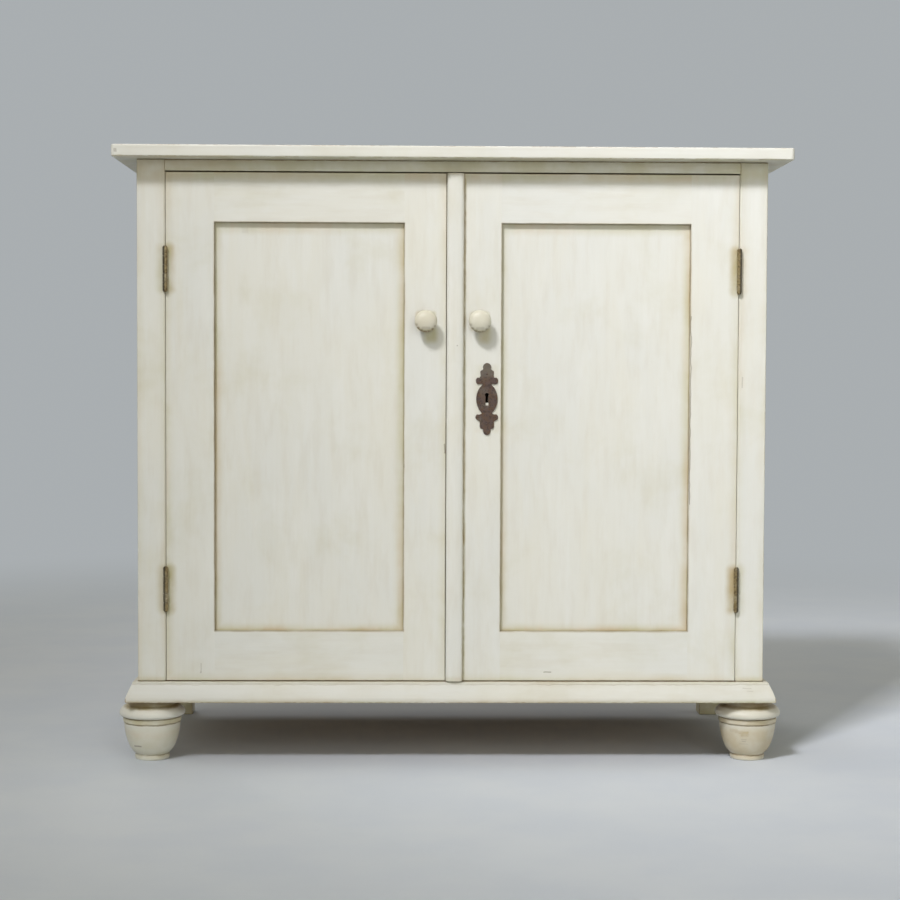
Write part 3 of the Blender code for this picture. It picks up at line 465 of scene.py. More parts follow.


# One painted finish for each board. Its box gives the edges, the smudges its wax, halos and marks, where wax
# and halos also carry painted shade, and the rim the wax round a panel. Bare says where the paint stops: an
# axis, a level and the way of the painted side, or else bareBox gives the centre and half size of an
# unpainted field.
def paintFor(node, grain, wear=0.5, warmth=0.0, dirt=0.8, wax=(), halo=(), marks=(), rim=None, bare=None,
             bareBox=None, box=None, tone=1.0):
    low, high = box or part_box(node)
    made, wire, shader = newMaterial(camel(node) + "Paint")
    shift = shiftFor(node)
    place = wire.objectPlace()
    moved = wire.vector("ADD", place, shift)
    sway = wire.add("ShaderNodeTexNoise", {"Vector": moved, "Scale": paintSet["swayScale"]}).outputs["Color"]
    wobble = wire.scaled(wire.vector("SUBTRACT", sway, (0.5, 0.5, 0.5)), paintSet["sway"])
    swayed = wire.vector("ADD", place, wobble)
    waxAndShadeMask, haloMask, markMask = (smudgeMask(wire, swayed, smudges) for smudges in (wax, halo, marks))
    if rim is not None:
        opening, lineShare, haloShare, reach = rim
        drawn = wire.vector("ADD", place, wire.scaled(wobble, 0.25))
        around = useGroup(wire, rimGroup, Place=drawn, Low=opening[0], High=opening[1], Reach=reach)
        waxAndShadeMask = larger(wire, waxAndShadeMask, wire.times(around["Line"], lineShare))
        haloMask = larger(wire, haloMask, wire.times(around["Halo"], haloShare))
    paint = useGroup(wire, paintGroup, Low=low, High=high, Stretch=grains[grain]["Stretch"], Shift=shift,
                     Wear=wear, Warmth=warmth, Dirt=dirt, Tone=tone,
                     Wax=waxAndShadeMask, Halo=haloMask, Mark=markMask)
    shown, rough, height = paint["Colour"], paint["Roughness"], paint["Height"]
    covered = None
    if bare is not None:
        axis, limit, way = bare
        ragged = wire.fade(wire.noise(moved, 70.0), 0.3, 0.7, limit - paintSet["edgeRaggedness"],
                           limit + paintSet["edgeRaggedness"])
        covered = wire.math("GREATER_THAN" if way > 0 else "LESS_THAN", wire.split(place)[axis], ragged)
    if bareBox is not None:
        covered = wire.minus(1.0, smudgeMask(wire, swayed, [(*bareBox, 1 * mm, 1.0)]))
    if covered is not None:
        pine = useGroup(wire, pineGroup, Low=low, High=high, Shift=shift, Grime=0.4, **grains[grain])
        shown = wire.blend(covered, pine["Colour"], shown)
        rough = wire.between(covered, pine["Roughness"], rough)
        height = wire.between(covered, pine["Height"], height)
    dress(wire, shader, shown, rough, height, paintSet["relief"])
    return made


def pineFor(node, grain, grime=0.5):
    low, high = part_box(node)
    made, wire, shader = newMaterial(camel(node) + "Pine")
    pine = useGroup(wire, pineGroup, Low=low, High=high, Shift=shiftFor(node), Grime=grime, **grains[grain])
    dress(wire, shader, pine["Colour"], pine["Roughness"], pine["Height"], pineSet["relief"])
    return made


# Old metals: rusted iron for the lock work, tarnished brass for the hinges, dull steel for the screws
metalSet = {
    "iron": {"main": colour(0.106, 0.070, 0.058), "rust": colour(0.138, 0.078, 0.042),
             "worn": colour(0.185, 0.165, 0.130), "dark": colour(0.048, 0.032, 0.027),
             "groove": colour(0.030, 0.018, 0.014), "metallic": 0.35, "roughness": 0.56, "relief": 0.25 * mm},
    # The brass grime colour is painted shade, for the side of the hinges that lies in the gap
    "brass": {"main": colour(0.340, 0.260, 0.125), "rust": colour(0.135, 0.088, 0.036),
              "worn": colour(0.520, 0.470, 0.330), "dark": colour(0.200, 0.150, 0.070),
              "grime": colour(0.060, 0.052, 0.036), "metallic": 0.55, "roughness": 0.44, "relief": 0.15 * mm},
    "steel": {"main": colour(0.170, 0.160, 0.150), "rust": colour(0.120, 0.062, 0.036),
              "worn": colour(0.330, 0.315, 0.290), "dark": colour(0.100, 0.085, 0.070),
              "metallic": 0.70, "roughness": 0.42, "relief": 0.10 * mm},
    "patterns": {"blotch": ("place", 210.0, 4.0, 0.62), "fine": ("place", 900.0, 3.0, 0.6),
                 "broad": ("place", 55.0, 2.0, 0.5), "specks": ("place", 340.0, 4.0, 0.72, 0.4)},
}


# A ring is a groove round a centre: its half sizes across and up, and its place as a share of them.
# From the given plane outwards, where they lie in the gap against the frame, hinges are darkened towards the
# grime colour: painted shade.
def metal(name, given, ring=None, worn=(), shadedFrom=None):
    made, wire, shader = newMaterial(name)
    place = wire.objectPlace()
    field = patterns(wire, {"place": place}, metalSet["patterns"])
    blotch = field["blotch"]
    tone = layered(wire, given["main"], [
        (wire.fade(blotch, 0.40, 0.66), given["rust"]),
        (wire.fade(field["broad"], 0.50, 0.72, 0.0, 0.55), given["worn"]),
        (wire.fade(field["specks"], 0.50, 0.60, 0.0, 0.75), given["dark"])])
    patches = smudgeMask(wire, place, worn)
    if patches is not None:
        tone = wire.blend(wire.times(patches, wire.fade(blotch, 0.25, 0.6, 0.5, 1.0)), tone, given["worn"])
    # Painted shade: the side of a hinge in the gap is darkened towards the grime colour
    if shadedFrom is not None:
        out = wire.minus(wire.unsigned(wire.split(place)[0]), shadedFrom)
        tone = wire.blend(wire.fade(out, -1.2 * mm, 2.4 * mm, 0.0, 0.92), tone, given["grime"])
    height = wire.plus(wire.times(blotch, 0.6), wire.times(field["fine"], 0.4))
    if ring is not None:
        centre, half, groove = ring
        offset = wire.vector("SUBTRACT", place, centre)
        far = wire.vector("LENGTH", wire.vector("MULTIPLY", offset, (1 / half[0], 0.0, 1 / half[1])))
        line = wire.fade(wire.unsigned(wire.minus(far, groove)), 0.02, 0.09, 1.0, 0.0)
        height = wire.minus(height, wire.times(line, 0.5))
        tone = wire.blend(wire.times(line, 0.12), tone, given["groove"])
    rough = wire.fade(blotch, 0.3, 0.7, given["roughness"] - 0.08, given["roughness"] + 0.14)
    dress(wire, shader, tone, rough, height, given["relief"])
    shader.inputs["Metallic"].default_value = given["metallic"]
    return made


rustyIron = metal("rustyIron", metalSet["iron"])
oldBrass = metal("oldBrass", metalSet["brass"], shadedFrom=abs(hinges["left", "upper"].x))
dullSteel = metal("dullSteel", metalSet["steel"])
print("finishes built")


# Mesh helpers
meshSet = {
    "cutPitch": 30 * mm,
    "unevenness": 0.10 * mm,
    "waves": 9.0,
    "noiseSeed": 5,
    "smoothAngle": 38,
    "flatArea": 12 * mm * mm,  # a face larger than this, and as square to the axes as flatShare, is flat
    "flatShare": 0.9995,
}

# The vector noise starts from the clock unless it has a seed, so it gets one before its first use
noise.seed_set(meshSet["noiseSeed"])


def copyOfNode(node):
    mesh = bmesh.new()
    mesh.from_mesh(frame["nodes"][node].data)
    bmesh.ops.remove_doubles(mesh, verts=mesh.verts, dist=0.01 * mm)
    bmesh.ops.dissolve_limit(mesh, angle_limit=math.radians(0.5), verts=mesh.verts, edges=mesh.edges)
    return mesh


# Edges of a mesh that lie on two faces of its box, as pairs of the edge and those two axes
def boxEdges(mesh, low, high, near=0.06 * mm):
    found = []
    for edge in mesh.edges:
        axes = [axis for axis in range(3) for limit in (low[axis], high[axis])
                if all(abs(vertex.co[axis] - limit) < near for vertex in edge.verts)]
        if len(axes) == 2:
            found.append((edge, tuple(axes)))
    return found


def soften(mesh, edges, width, segments=3):
    bmesh.ops.bevel(mesh, geom=edges, offset=width, offset_type="OFFSET", segments=segments, profile=0.5,
                    affect="EDGES", clamp_overlap=True)


def cutAt(mesh, axis, level):
    normal = Vector([1 if index == axis else 0 for index in range(3)])
    bmesh.ops.bisect_plane(mesh, geom=mesh.verts[:] + mesh.edges[:] + mesh.faces[:], dist=0.001 * mm,
                           plane_no=normal, plane_co=normal * level)


def cutEvenly(mesh, axis, low, high, pitch=meshSet["cutPitch"]):
    count = max(1, round((high - low) / pitch))
    for step in range(1, count):
        cutAt(mesh, axis, low + (high - low) * step / count)


# The small unevenness of hand-planed boards, the same on every run
def handWork(mesh, reach, size, seed):
    for vertex in mesh.verts:
        vertex.co += noise.noise_vector(vertex.co * size + Vector((seed, seed * 2, seed * 3))) * reach


def boxMesh(low, high):
    mesh = bmesh.new()
    bmesh.ops.create_cube(mesh, size=1.0)
    bmesh.ops.scale(mesh, verts=mesh.verts, vec=high - low)
    bmesh.ops.translate(mesh, verts=mesh.verts, vec=(low + high) / 2)
    return mesh


# A shell through rings of equal length, closed flat at both ends
def loft(rings):
    mesh = bmesh.new()
    rows = [[mesh.verts.new(point) for point in ring] for ring in rings]
    for lower, upper in zip(rows, rows[1:]):
        for step in range(len(lower)):
            after = (step + 1) % len(lower)
            mesh.faces.new((lower[step], lower[after], upper[after], upper[step]))
    mesh.faces.new(list(reversed(rows[0])))
    mesh.faces.new(rows[-1])
    return mesh


def lathe(profile, facets, place=(0, 0, 0)):
    turns = [math.tau * step / facets for step in range(facets)]
    mesh = loft([[(radius * math.cos(turn), radius * math.sin(turn), height) for turn in turns]
                 for radius, height in profile])
    bmesh.ops.translate(mesh, verts=mesh.verts, vec=place)
    return mesh


def chamferedBar(radius, cut, bottom, top, facets, place):
    return lathe([(radius - cut, bottom), (radius, bottom + cut), (radius, top - cut), (radius - cut, top)],
                 facets, place)


# A moulding or bead through its sections, with faces outwards and a little unevenness
def drawnShell(rings, reach, size, seed):
    mesh = loft(rings)
    bmesh.ops.recalc_face_normals(mesh, faces=mesh.faces)
    handWork(mesh, reach, size, seed)
    return mesh


# A smooth curve through the points of each run. Corners stay sharp where one run meets the next.
def smoothRuns(runs, steps):
    line = [runs[0][0]]
    for run in runs:
        ends = [run[0], *run, run[-1]]
        for before, start, stop, after in zip(ends, ends[1:], ends[2:], ends[3:]):
            count = steps if len(run) > 2 else 1
            for step in range(1, count + 1):
                share = step / count
                line.append(tuple(
                    (2 * b + (c - a) * share + (2 * a - 5 * b + 4 * c - d) * share ** 2
                     + (3 * b - a - 3 * c + d) * share ** 3) / 2
                    for a, b, c, d in zip(before, start, stop, after)))
    return line


def toData(mesh, name):
    data = bpy.data.meshes.new(name)
    bmesh.ops.triangulate(mesh, faces=[face for face in mesh.faces if len(face.verts) > 4])
    mesh.to_mesh(data)
    mesh.free()
    return data


def finishData(data, name, finish, nodes, smoothAngle=meshSet["smoothAngle"], body=None):
    data.shade_smooth()
    data.set_sharp_from_angle(angle=math.radians(smoothAngle))
    for face in data.polygons:
        squareness = max(abs(share) for share in face.normal)
        if face.area > meshSet["flatArea"] and squareness > meshSet["flatShare"]:
            face.use_smooth = False
    data.materials.clear()
    data.materials.append(finish)
    piece = linked(name, data)
    even = piece.modifiers.new("even shading", "WEIGHTED_NORMAL")
    even.keep_sharp = True
    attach(piece, body or bodyOf[nodes[0]])
    if nodes:
        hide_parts(*nodes)
    return piece


def finishPiece(mesh, node, finish, smoothAngle=meshSet["smoothAngle"]):
    return finishData(toData(mesh, camel(node)), camel(node), finish, [node], smoothAngle)


def finishPainted(mesh, node, grain, smoothAngle=meshSet["smoothAngle"], **looks):
    return finishPiece(mesh, node, paintFor(node, grain, **looks), smoothAngle)


def joined(meshes):
    whole = bmesh.new()
    for mesh in meshes:
        part = toData(mesh, "part")
        whole.from_mesh(part)
        bpy.data.meshes.remove(part)
    return whole


# Moves the face at one limit of the box across X, as old paint narrows a gap. Returns the new box.
def widened(mesh, low, high, side, amount):
    limit = high.x if side > 0 else low.x
    for vertex in mesh.verts:
        if abs(vertex.co.x - limit) < 0.05 * mm:
            vertex.co.x += side * amount
    move = Vector((side * amount, 0, 0))
    return (low, high + move) if side > 0 else (low + move, high)


def board(node, finish, soft, reach=meshSet["unevenness"], widen=None):
    low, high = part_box(node)
    mesh = copyOfNode(node)
    if widen is not None:
        low, high = widened(mesh, low, high, *widen)
    soften(mesh, [edge for edge, axes in boxEdges(mesh, low, high)], soft)
    axis = max(range(3), key=lambda index: high[index] - low[index])
    cutEvenly(mesh, axis, low[axis], high[axis])
    handWork(mesh, reach, meshSet["waves"], shiftFor(node).x)
    finishPiece(mesh, node, finish)


# Smudges: a band at a level of one axis, or a spot on the front, with half sizes, softness and strength
everywhere = 2.0
frontDepth = 20 * mm


def band(axis, level, half, soft, strength):
    centre = Vector([level if index == axis else 0 for index in range(3)])
    size = Vector([half if index == axis else everywhere for index in range(3)])
    return centre, size, soft, strength


def spot(x, z, halfX, halfZ, soft, strength):
    return Vector((x, frontY, z)), Vector((halfX, frontDepth, halfZ)), soft, strength


def hingeSmudges(side, inward, strength):
    places = [hinges[side, level] for level in levels]
    return [spot(place.x + inward * 4 * mm, place.z, 1 * mm, 31 * mm, 15 * mm, strength) for place in places]


# Paint covers the fronts of frame and doors as far as this plane: axis, level and painted side
frontPainted = (1, doorBackY - 1.6 * mm, -1)

# Boards of the carcass. Worn places on the top rail: across, below the top, half length and strength.
carcassSet = {
    "frameEdge": 0.45 * mm,
    "gapShare": 1.0 * mm,
    "railEdge": 0.7 * mm,
    "innerEdge": 1.2 * mm,
    "backEdge": 0.5 * mm,
    "topCorner": 6.0 * mm,
    "topEdge": 2.4 * mm,
    "topBoards": 3,
    "topChip": (7 * mm, 10 * mm),
    "paintedRim": 2 * mm,
    "sidePaintDepth": 4 * mm,
    "shadeDrop": 45 * mm,
    "waxLine": 0.9 * mm,
    "railWorn": [(-0.140, 11 * mm, 19 * mm, 0.55), (0.205, 10 * mm, 14 * mm, 0.45)],
    "stileMarks": {"left": [], "right": [spot(0.462, 0.61, 0.5 * mm, 9 * mm, 0.8 * mm, 0.30)]},
}


def buildTopBoard(given):
    low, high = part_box("top_board")
    mesh = boxMesh(low, high)
    upright = [edge for edge, axes in boxEdges(mesh, low, high) if axes == (0, 1)]
    soften(mesh, upright, given["topCorner"], 8)
    rims = [edge for edge in mesh.edges if len(edge.link_faces) == 2 and edge.calc_face_angle() > 1.2]
    soften(mesh, rims, given["topEdge"], 4)
    cutEvenly(mesh, 0, low.x, high.x)
    handWork(mesh, 0.15 * mm, 6.0, 3.1)
    pitch = (high.y - low.y) / given["topBoards"]
    joints = [band(1, low.y + pitch * step, 0.15 * mm, 0.8 * mm, 0.30)
              for step in range(1, given["topBoards"])]
    inside = (Vector((0, (low.y + backY) / 2 + 0.03, topUnderside)),
              Vector((bodyInside - given["paintedRim"], 0.19, 1.5 * mm)))
    across, down = given["topChip"]
    chip = (Vector((low.x + across, low.y, high.z - down)), Vector((1.6 * mm, 6 * mm, 2.2 * mm)),
            1.6 * mm, 0.40)
    # Painted shade: the overhang's underside and lower front edge are darkened, most at its left end
    halo = [spot(hinges["left", "upper"].x, low.z, 45 * mm, 1 * mm, 5 * mm, 0.4),
            band(2, low.z, 0.6 * mm, 1.5 * mm, 0.8)]
    finishPainted(mesh, "top_board", "X", wear=0.45, dirt=0.12, wax=joints, bareBox=inside, halo=halo,
                  marks=[chip])


def buildCarcass(given):
    drop = given["shadeDrop"]
    # Painted shade, with some wax: a tan band down from the top's underside, where the overhang's shadow
    # falls on the rail, stiles and sides
    shade = band(2, topUnderside, drop * 0.35, drop * 0.75, 0.85)
    topLine = band(2, topUnderside, given["waxLine"], 1.6 * mm, 0.8)
    footLine = band(2, baseTop, 0.3 * mm, 1.0 * mm, 0.05)
    footShade = band(2, baseTop, 2 * mm, 9 * mm, 0.55)
    for side, hand in sides:
        node = side + "_side"
        joint = band(1, (frontY + backY) / 2 + hand * 0.03, 0.10 * mm, 0.7 * mm, 0.25)
        outsidePainted = (0, hand * (bodyHalf - given["sidePaintDepth"]), hand)
        finish = paintFor(node, "Z", wear=0.12, dirt=0.6, wax=[topLine, footLine, joint],
                          halo=[shade, footShade], bare=outsidePainted)
        board(node, finish, given["frameEdge"])
        node = side + "_front_stile"
        gap = band(0, hand * stileInside, 0.8 * mm, 3.0 * mm, 0.20)
        finish = paintFor(node, "Z", wear=0.08, dirt=0.40, wax=[topLine, footLine], bare=frontPainted,
                          halo=[shade, footShade, gap, *hingeSmudges(side, hand, 0.80)],
                          marks=given["stileMarks"][side])
        board(node, finish, given["frameEdge"], widen=(-hand, given["gapShare"]))
        for node, grime in ((side + "_shelf_cleat", 0.5), ("base_" + side + "_rail", 0.9)):
            board(node, pineFor(node, "Y", grime), given["innerEdge"])
    worn = [spot(x, topUnderside - down, half, 4 * mm, 6 * mm, strength)
            for x, down, half, strength in given["railWorn"]]
    finish = paintFor("top_front_rail", "X", wear=0.9, dirt=0.5, wax=[topLine], halo=[shade, *worn],
                      bare=frontPainted)
    board("top_front_rail", finish, given["railEdge"])
    for node, grime in (("bottom_board", 0.5), ("base_front_rail", 0.9), ("base_back_rail", 0.9),
                        ("back_top_rail", 0.5), ("shelf", 0.4)):
        board(node, pineFor(node, "X", grime), given["innerEdge"])
    for index in range(1, 5):
        node = "back_board_" + str(index)
        board(node, pineFor(node, "Z", 0.7), given["backEdge"])


# Doors: frame members with soft edges along the panel and outside, but flush where a rail meets a stile
doorSet = {
    "edge": 0.4 * mm,
    "unevenness": 0.08 * mm,
    "gapShare": {("left", "hinge"): 1.0 * mm, ("right", "hinge"): 1.0 * mm, ("left", "meeting"): 0.8 * mm},
    "shoulderFill": 0.28 * mm,
    "panelSoft": 0.3 * mm,
    "panelGrime": 0.45,
    "rimReach": 6.0 * mm,
    "gapHalo": 3.0 * mm,
    "knobHalo": 13 * mm,
    "marks": {
        ("left", "meeting"): [spot(-0.0775, 0.4750, 0.6 * mm, 2.4 * mm, 0.8 * mm, 0.7),
                              spot(-0.0122, 0.5030, 0.6 * mm, 7.0 * mm, 0.9 * mm, 0.6)],
        ("right", "hinge"): [spot(0.3795, 0.565, 0.25 * mm, 0.150, 0.5 * mm, 0.75)],
        ("right", "bottom"): [spot(0.1535, 0.1448, 6.0 * mm, 0.4 * mm, 0.9 * mm, 0.55)],
        ("left", "hinge"): [spot(-0.400, 0.1515, 0.3 * mm, 7.0 * mm, 0.8 * mm, 0.28),
                            spot(-0.400, 0.1440, 0.7 * mm, 1.2 * mm, 0.9 * mm, 0.35)],
        ("left", "panel"): [spot(-0.330, 0.848, 4 * mm, 3 * mm, 3 * mm, 0.10)],
    },
}


def buildDoor(given, side, hand):
    prefix = side + "_door_"
    opening = openings[side]
    outer = boxRound(prefix + "hinge_stile", prefix + "meeting_stile")
    foot = band(2, doorLow, 0.8 * mm, 4 * mm, 0.30)
    # Painted shade: the head band tints the tops of the doors tan, where the top's overhang casts its shadow
    head = band(2, doorHigh, 5 * mm, 16 * mm, 0.75)

    def finishMember(part, kind, mesh, edges, grain, ends, wear, halo, wax=()):
        node = prefix + part + "_" + kind
        soften(mesh, edges, given["edge"])
        cutEvenly(mesh, "XYZ".index(grain), *ends)
        handWork(mesh, given["unevenness"], meshSet["waves"], shiftFor(node).x)
        finishPainted(mesh, node, grain, wear=wear, dirt=0.55, halo=halo, wax=wax, bare=frontPainted,
                      box=outer, rim=(opening, 0.80, 0.45, given["rimReach"] * 0.6),
                      marks=given["marks"].get((side, part), []))

    hinge = band(0, hand * (abs(hinges[side, "upper"].x) - 1.5 * mm), 0.5 * mm, given["gapHalo"], 0.20)
    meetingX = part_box(prefix + "meeting_stile")[0 if hand > 0 else 1].x
    meeting = band(0, meetingX, 0.4 * mm, given["gapHalo"], 0.15)
    knob, reach = knobs[side], given["knobHalo"]
    ring = spot(knob.x, knob.z, reach * 0.8, reach * 0.8, reach * 0.7, 1.3)
    # Painted shadow: a tan patch below and to the right of the knob, where its shadow falls
    paintedKnobShadow = spot(knob.x + 8 * mm, knob.z - 20 * mm, 3 * mm, 6 * mm, 13 * mm, 1.6)
    stripHaloAndShade, stripWax = [], []
    if side == "right":
        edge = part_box("cover_strip")[1].x
        # Wax, and painted shade where the strip casts its shadow: a tan band along the strip's right edge
        stripHaloAndShade = [band(0, edge, 1.6 * mm, 3.5 * mm, 1.20),
                     spot(plateMiddle.x, plateMiddle.z, 15 * mm, 50 * mm, 8 * mm, 0.30)]
        stripWax = [band(0, edge + 0.4 * mm, 0.5 * mm, 1.1 * mm, 0.80)]
    hingeHalo = [hinge, foot, head, *hingeSmudges(side, -hand, 1.45)]
    meetingHalo = [meeting, foot, head, ring, paintedKnobShadow, *stripHaloAndShade]
    for part, outward, halo, wax in (("hinge", hand, hingeHalo, hingeSmudges(side, -hand, 0.22)),
                                     ("meeting", -hand, meetingHalo, stripWax)):
        low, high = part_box(prefix + part + "_stile")
        inner = low.x if abs(low.x - opening[1].x) < mm else high.x
        mesh = copyOfNode(prefix + part + "_stile")
        share = given["gapShare"].get((side, part))
        if share is not None:
            low, high = widened(mesh, low, high, outward, share)
        for corner in opening:
            cutAt(mesh, 2, corner.z)
        edges = []
        for edge, axes in boxEdges(mesh, low, high):
            middle = (edge.verts[0].co + edge.verts[1].co) / 2
            alongPanel = axes == (0, 1) and opening[0].z < middle.z < opening[1].z
            if abs(middle.x - inner) > 0.1 * mm or alongPanel:
                edges.append(edge)
        finishMember(part, "stile", mesh, edges, "Z", (low.z, high.z), 0.06, halo, wax)
    for part, halo in (("top", head), ("bottom", foot)):
        low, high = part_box(prefix + part + "_rail")
        mesh = copyOfNode(prefix + part + "_rail")
        for vertex in mesh.verts:
            for corner, way in ((opening[0].x, -1), (opening[1].x, 1)):
                if abs(vertex.co.x - corner) < 0.4 * mm:
                    vertex.co.x += way * given["shoulderFill"]
        edges = [edge for edge, axes in boxEdges(mesh, low, high) if axes == (1, 2)]
        finishMember(part, "rail", mesh, edges, "X", (opening[0].x, opening[1].x), 0.15, [halo])
    node = prefix + "panel"
    low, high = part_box(node)
    seen = (Vector((opening[0].x, low.y, opening[0].z)), Vector((opening[1].x, high.y, opening[1].z)))
    # Grime along the opening's right edge. The band under its top edge is wax and painted shade, tinting the
    # shadow that the rail casts on the panel.
    grime = [band(0, opening[1].x, 3 * mm, 17 * mm, given["panelGrime"]),
             band(2, opening[1].z - 8 * mm, 3 * mm, 12 * mm, given["panelGrime"])]
    finish = paintFor(node, "Z", wear=0.0, dirt=1.1, halo=grime, rim=(opening, 0.85, 0.95, given["rimReach"]),
                      marks=given["marks"].get((side, "panel"), []), bare=(1, (low.y + high.y) / 2, -1),
                      box=seen)
    board(node, finish, given["panelSoft"])


# Cover strip: a half-round bead that swells quickly at its edges
stripSet = {
    "runs": [[(1.00, 0.00), (1.00, 0.34)],
             [(1.00, 0.34), (0.965, 0.58), (0.88, 0.76), (0.73, 0.885), (0.50, 0.96), (0.25, 0.993),
              (0.00, 1.00)]],
    "steps": 4,
    "endRound": 0.8 * mm,
    "gapShare": 0.6 * mm,
    "unevenness": 0.12 * mm,
    "mark": (0.0065, 0.667),
}


def buildStrip(given):
    low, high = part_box("cover_strip")
    low = low - Vector((given["gapShare"], 0, 0))
    centre, half = (low.x + high.x) / 2, (high.x - low.x) / 2
    arc = smoothRuns(given["runs"], given["steps"])
    section = arc + [(-across, out) for across, out in reversed(arc[:-1])]

    def ring(level, inset):
        share = 1 - inset / half
        return [(centre + half * across * share, high.y - (high.y - low.y) * out * share, level)
                for across, out in section]

    end = given["endRound"]
    count = round((high.z - low.z) / meshSet["cutPitch"])
    rings = [ring(low.z, end), ring(low.z + 0.3 * end, 0.3 * end), ring(low.z + end, 0)]
    rings += [ring(low.z + (high.z - low.z) * step / count, 0) for step in range(1, count)]
    rings += [ring(high.z - end, 0), ring(high.z - 0.3 * end, 0.3 * end), ring(high.z, end)]
    # The band along the right edge is wax and painted shade on the strip's shaded right flank
    halo = [band(0, high.x, 0.4 * mm, 1.8 * mm, 0.7), band(0, low.x, 0.2 * mm, 1.0 * mm, 0.10),
            band(2, low.z, 2 * mm, 9 * mm, 0.6), band(2, high.z, 1 * mm, 6 * mm, 0.5)]
    mesh = drawnShell(rings, given["unevenness"], 12.0, 4.7)
    finishPainted(mesh, "cover_strip", "Z", wear=0.03, dirt=0.0, halo=halo,
                  marks=[spot(*given["mark"], 0.6 * mm, 0.6 * mm, 0.8 * mm, 0.45)])


# Base moulding: shares of its projection and height, from the lower inner corner round the nose to the top
mouldingSet = {
    "runs": [[(0.00, 0.00), (0.90, 0.00)],
             [(0.90, 0.00), (0.975, 0.02), (1.00, 0.09), (0.995, 0.16), (0.965, 0.245)],
             [(0.965, 0.245), (0.845, 0.42), (0.73, 0.575), (0.61, 0.73), (0.485, 0.875)],
             [(0.485, 0.875), (0.455, 0.883), (0.448, 0.905)],
             [(0.448, 0.905), (0.43, 0.965), (0.37, 0.995)],
             [(0.37, 0.995), (0.00, 1.00)]],
    "quirk": 0.882,
    "steps": 4,
    "clearance": 0.2 * mm,
    "mitreGap": 0.05 * mm,
    "unevenness": 0.18 * mm,
    "waves": 14.0,
    "scratches": [(0.473, 0.121, 7 * mm, 0.30), (0.478, 0.117, 5 * mm, 0.25)],
}


def buildMouldings(given):
    low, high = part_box("base_front_moulding")
    depth, height = frontY - low.y, high.z - low.z
    clear = given["clearance"]
    section = [(clear + across * (depth - clear), low.z + up * height)
               for across, up in smoothRuns(given["runs"], given["steps"])]
    quirk = band(2, low.z + given["quirk"] * height, 0.2 * mm, 0.8 * mm, 0.35)
    # A tan line along the foot of the moulding, and painted shade along its top, where it meets the frame and
    # doors
    halo = [band(2, low.z, 0.8 * mm, 5 * mm, 0.80), band(2, high.z, 1.5 * mm, 4 * mm, 0.40)]

    def finishMoulding(node, grain, rings, seed, **looks):
        mesh = drawnShell(rings, given["unevenness"], given["waves"], seed)
        finishPainted(mesh, node, grain, wax=[quirk], halo=halo, **looks)

    count = round(2 * bodyHalf / meshSet["cutPitch"])
    rings = [[((2 * step / count - 1) * (bodyHalf + out - given["mitreGap"]), frontY - out, level)
              for out, level in section] for step in range(count + 1)]
    marks = [spot(x, z, half, 0.25 * mm, 0.5 * mm, strength) for x, z, half, strength in given["scratches"]]
    # Tone darkens the mouldings' paint: painted shade, evening out the stronger light on their upturned splay
    finishMoulding("base_front_moulding", "X", rings, 2.2, wear=0.8, dirt=0.3, tone=0.91, marks=marks)
    count = round((backY - frontY) / meshSet["cutPitch"])
    for side, hand in sides:
        shares = [step / count for step in range(count + 1)]
        rings = [[(hand * (bodyHalf + out), (frontY - out) * (1 - share) + backY * share, level)
                  for out, level in section] for share in shares]
        finishMoulding("base_" + side + "_moulding", "Y", rings, 5.0 + hand, wear=0.6, dirt=0.4, tone=0.93)


# Turned front feet: shares of the ring radius and of the height, one run between each pair of sharp corners.
# Heights of grooves, stains and worn places are shares of the foot's height, other places and sizes are mm.
footSet = {
    "runs": [[(0.480, 0.000), (0.512, 0.009), (0.528, 0.040), (0.521, 0.077)],
             [(0.521, 0.077), (0.505, 0.091)],
             [(0.505, 0.091), (0.556, 0.118), (0.618, 0.155), (0.672, 0.198), (0.722, 0.255), (0.768, 0.325),
              (0.810, 0.405), (0.840, 0.490), (0.860, 0.575), (0.864, 0.604)],
             [(0.864, 0.604), (0.842, 0.610), (0.842, 0.618), (0.884, 0.626)],
             [(0.884, 0.626), (0.890, 0.660), (0.884, 0.692)],
             [(0.884, 0.692), (0.858, 0.698), (0.858, 0.705), (0.925, 0.714)],
             [(0.925, 0.714), (0.985, 0.738), (1.000, 0.772), (0.985, 0.806), (0.930, 0.846), (0.845, 0.882),
              (0.755, 0.905)],
             [(0.755, 0.905), (0.730, 0.918), (0.728, 0.997)]],
    "steps": 5,
    "facets": 96,
    "unevenness": 0.25 * mm,
    "grooves": (0.088, 0.614, 0.701),
    "neck": 0.935,
    "stains": [(0.10, 2, 10, 0.80), (0.66, 3, 4, 1.1), (0.93, 3, 5, 1.5)],
    "stain": {"left": 0.60, "right": 1.05},
    "tone": {"left": 1.0, "right": 0.90},
    "warmth": {"left": 0.35, "right": 0.90},
    # Scratches and worn patches: across, height, half length and strength
    "scratches": {"left": [(-19, 0.255, 6.0, 0.60)],
                  "right": [(-12, 0.30, 6, 0.16), (-12, 0.345, 3, 0.35), (-12, 0.375, 4, 0.28)]},
    # In front of the middle, half depth, half height and softness of a scratch
    "scratchForm": {"left": (33, 12, 0.5, 1.4), "right": (38, 14, 0.2, 0.9)},
    "patches": {"left": [], "right": [(-27, 0.52, 5, 0.45), (-20, 0.50, 5, 0.55), (-13, 0.49, 6, 0.65),
                                      (-11, 0.45, 5, 0.60)]},
    "blockEdge": 2.0 * mm,
    "blockPitch": 12 * mm,
}


def standOnFloor(mesh):
    for vertex in mesh.verts:
        vertex.co.z = max(vertex.co.z, 0.0)


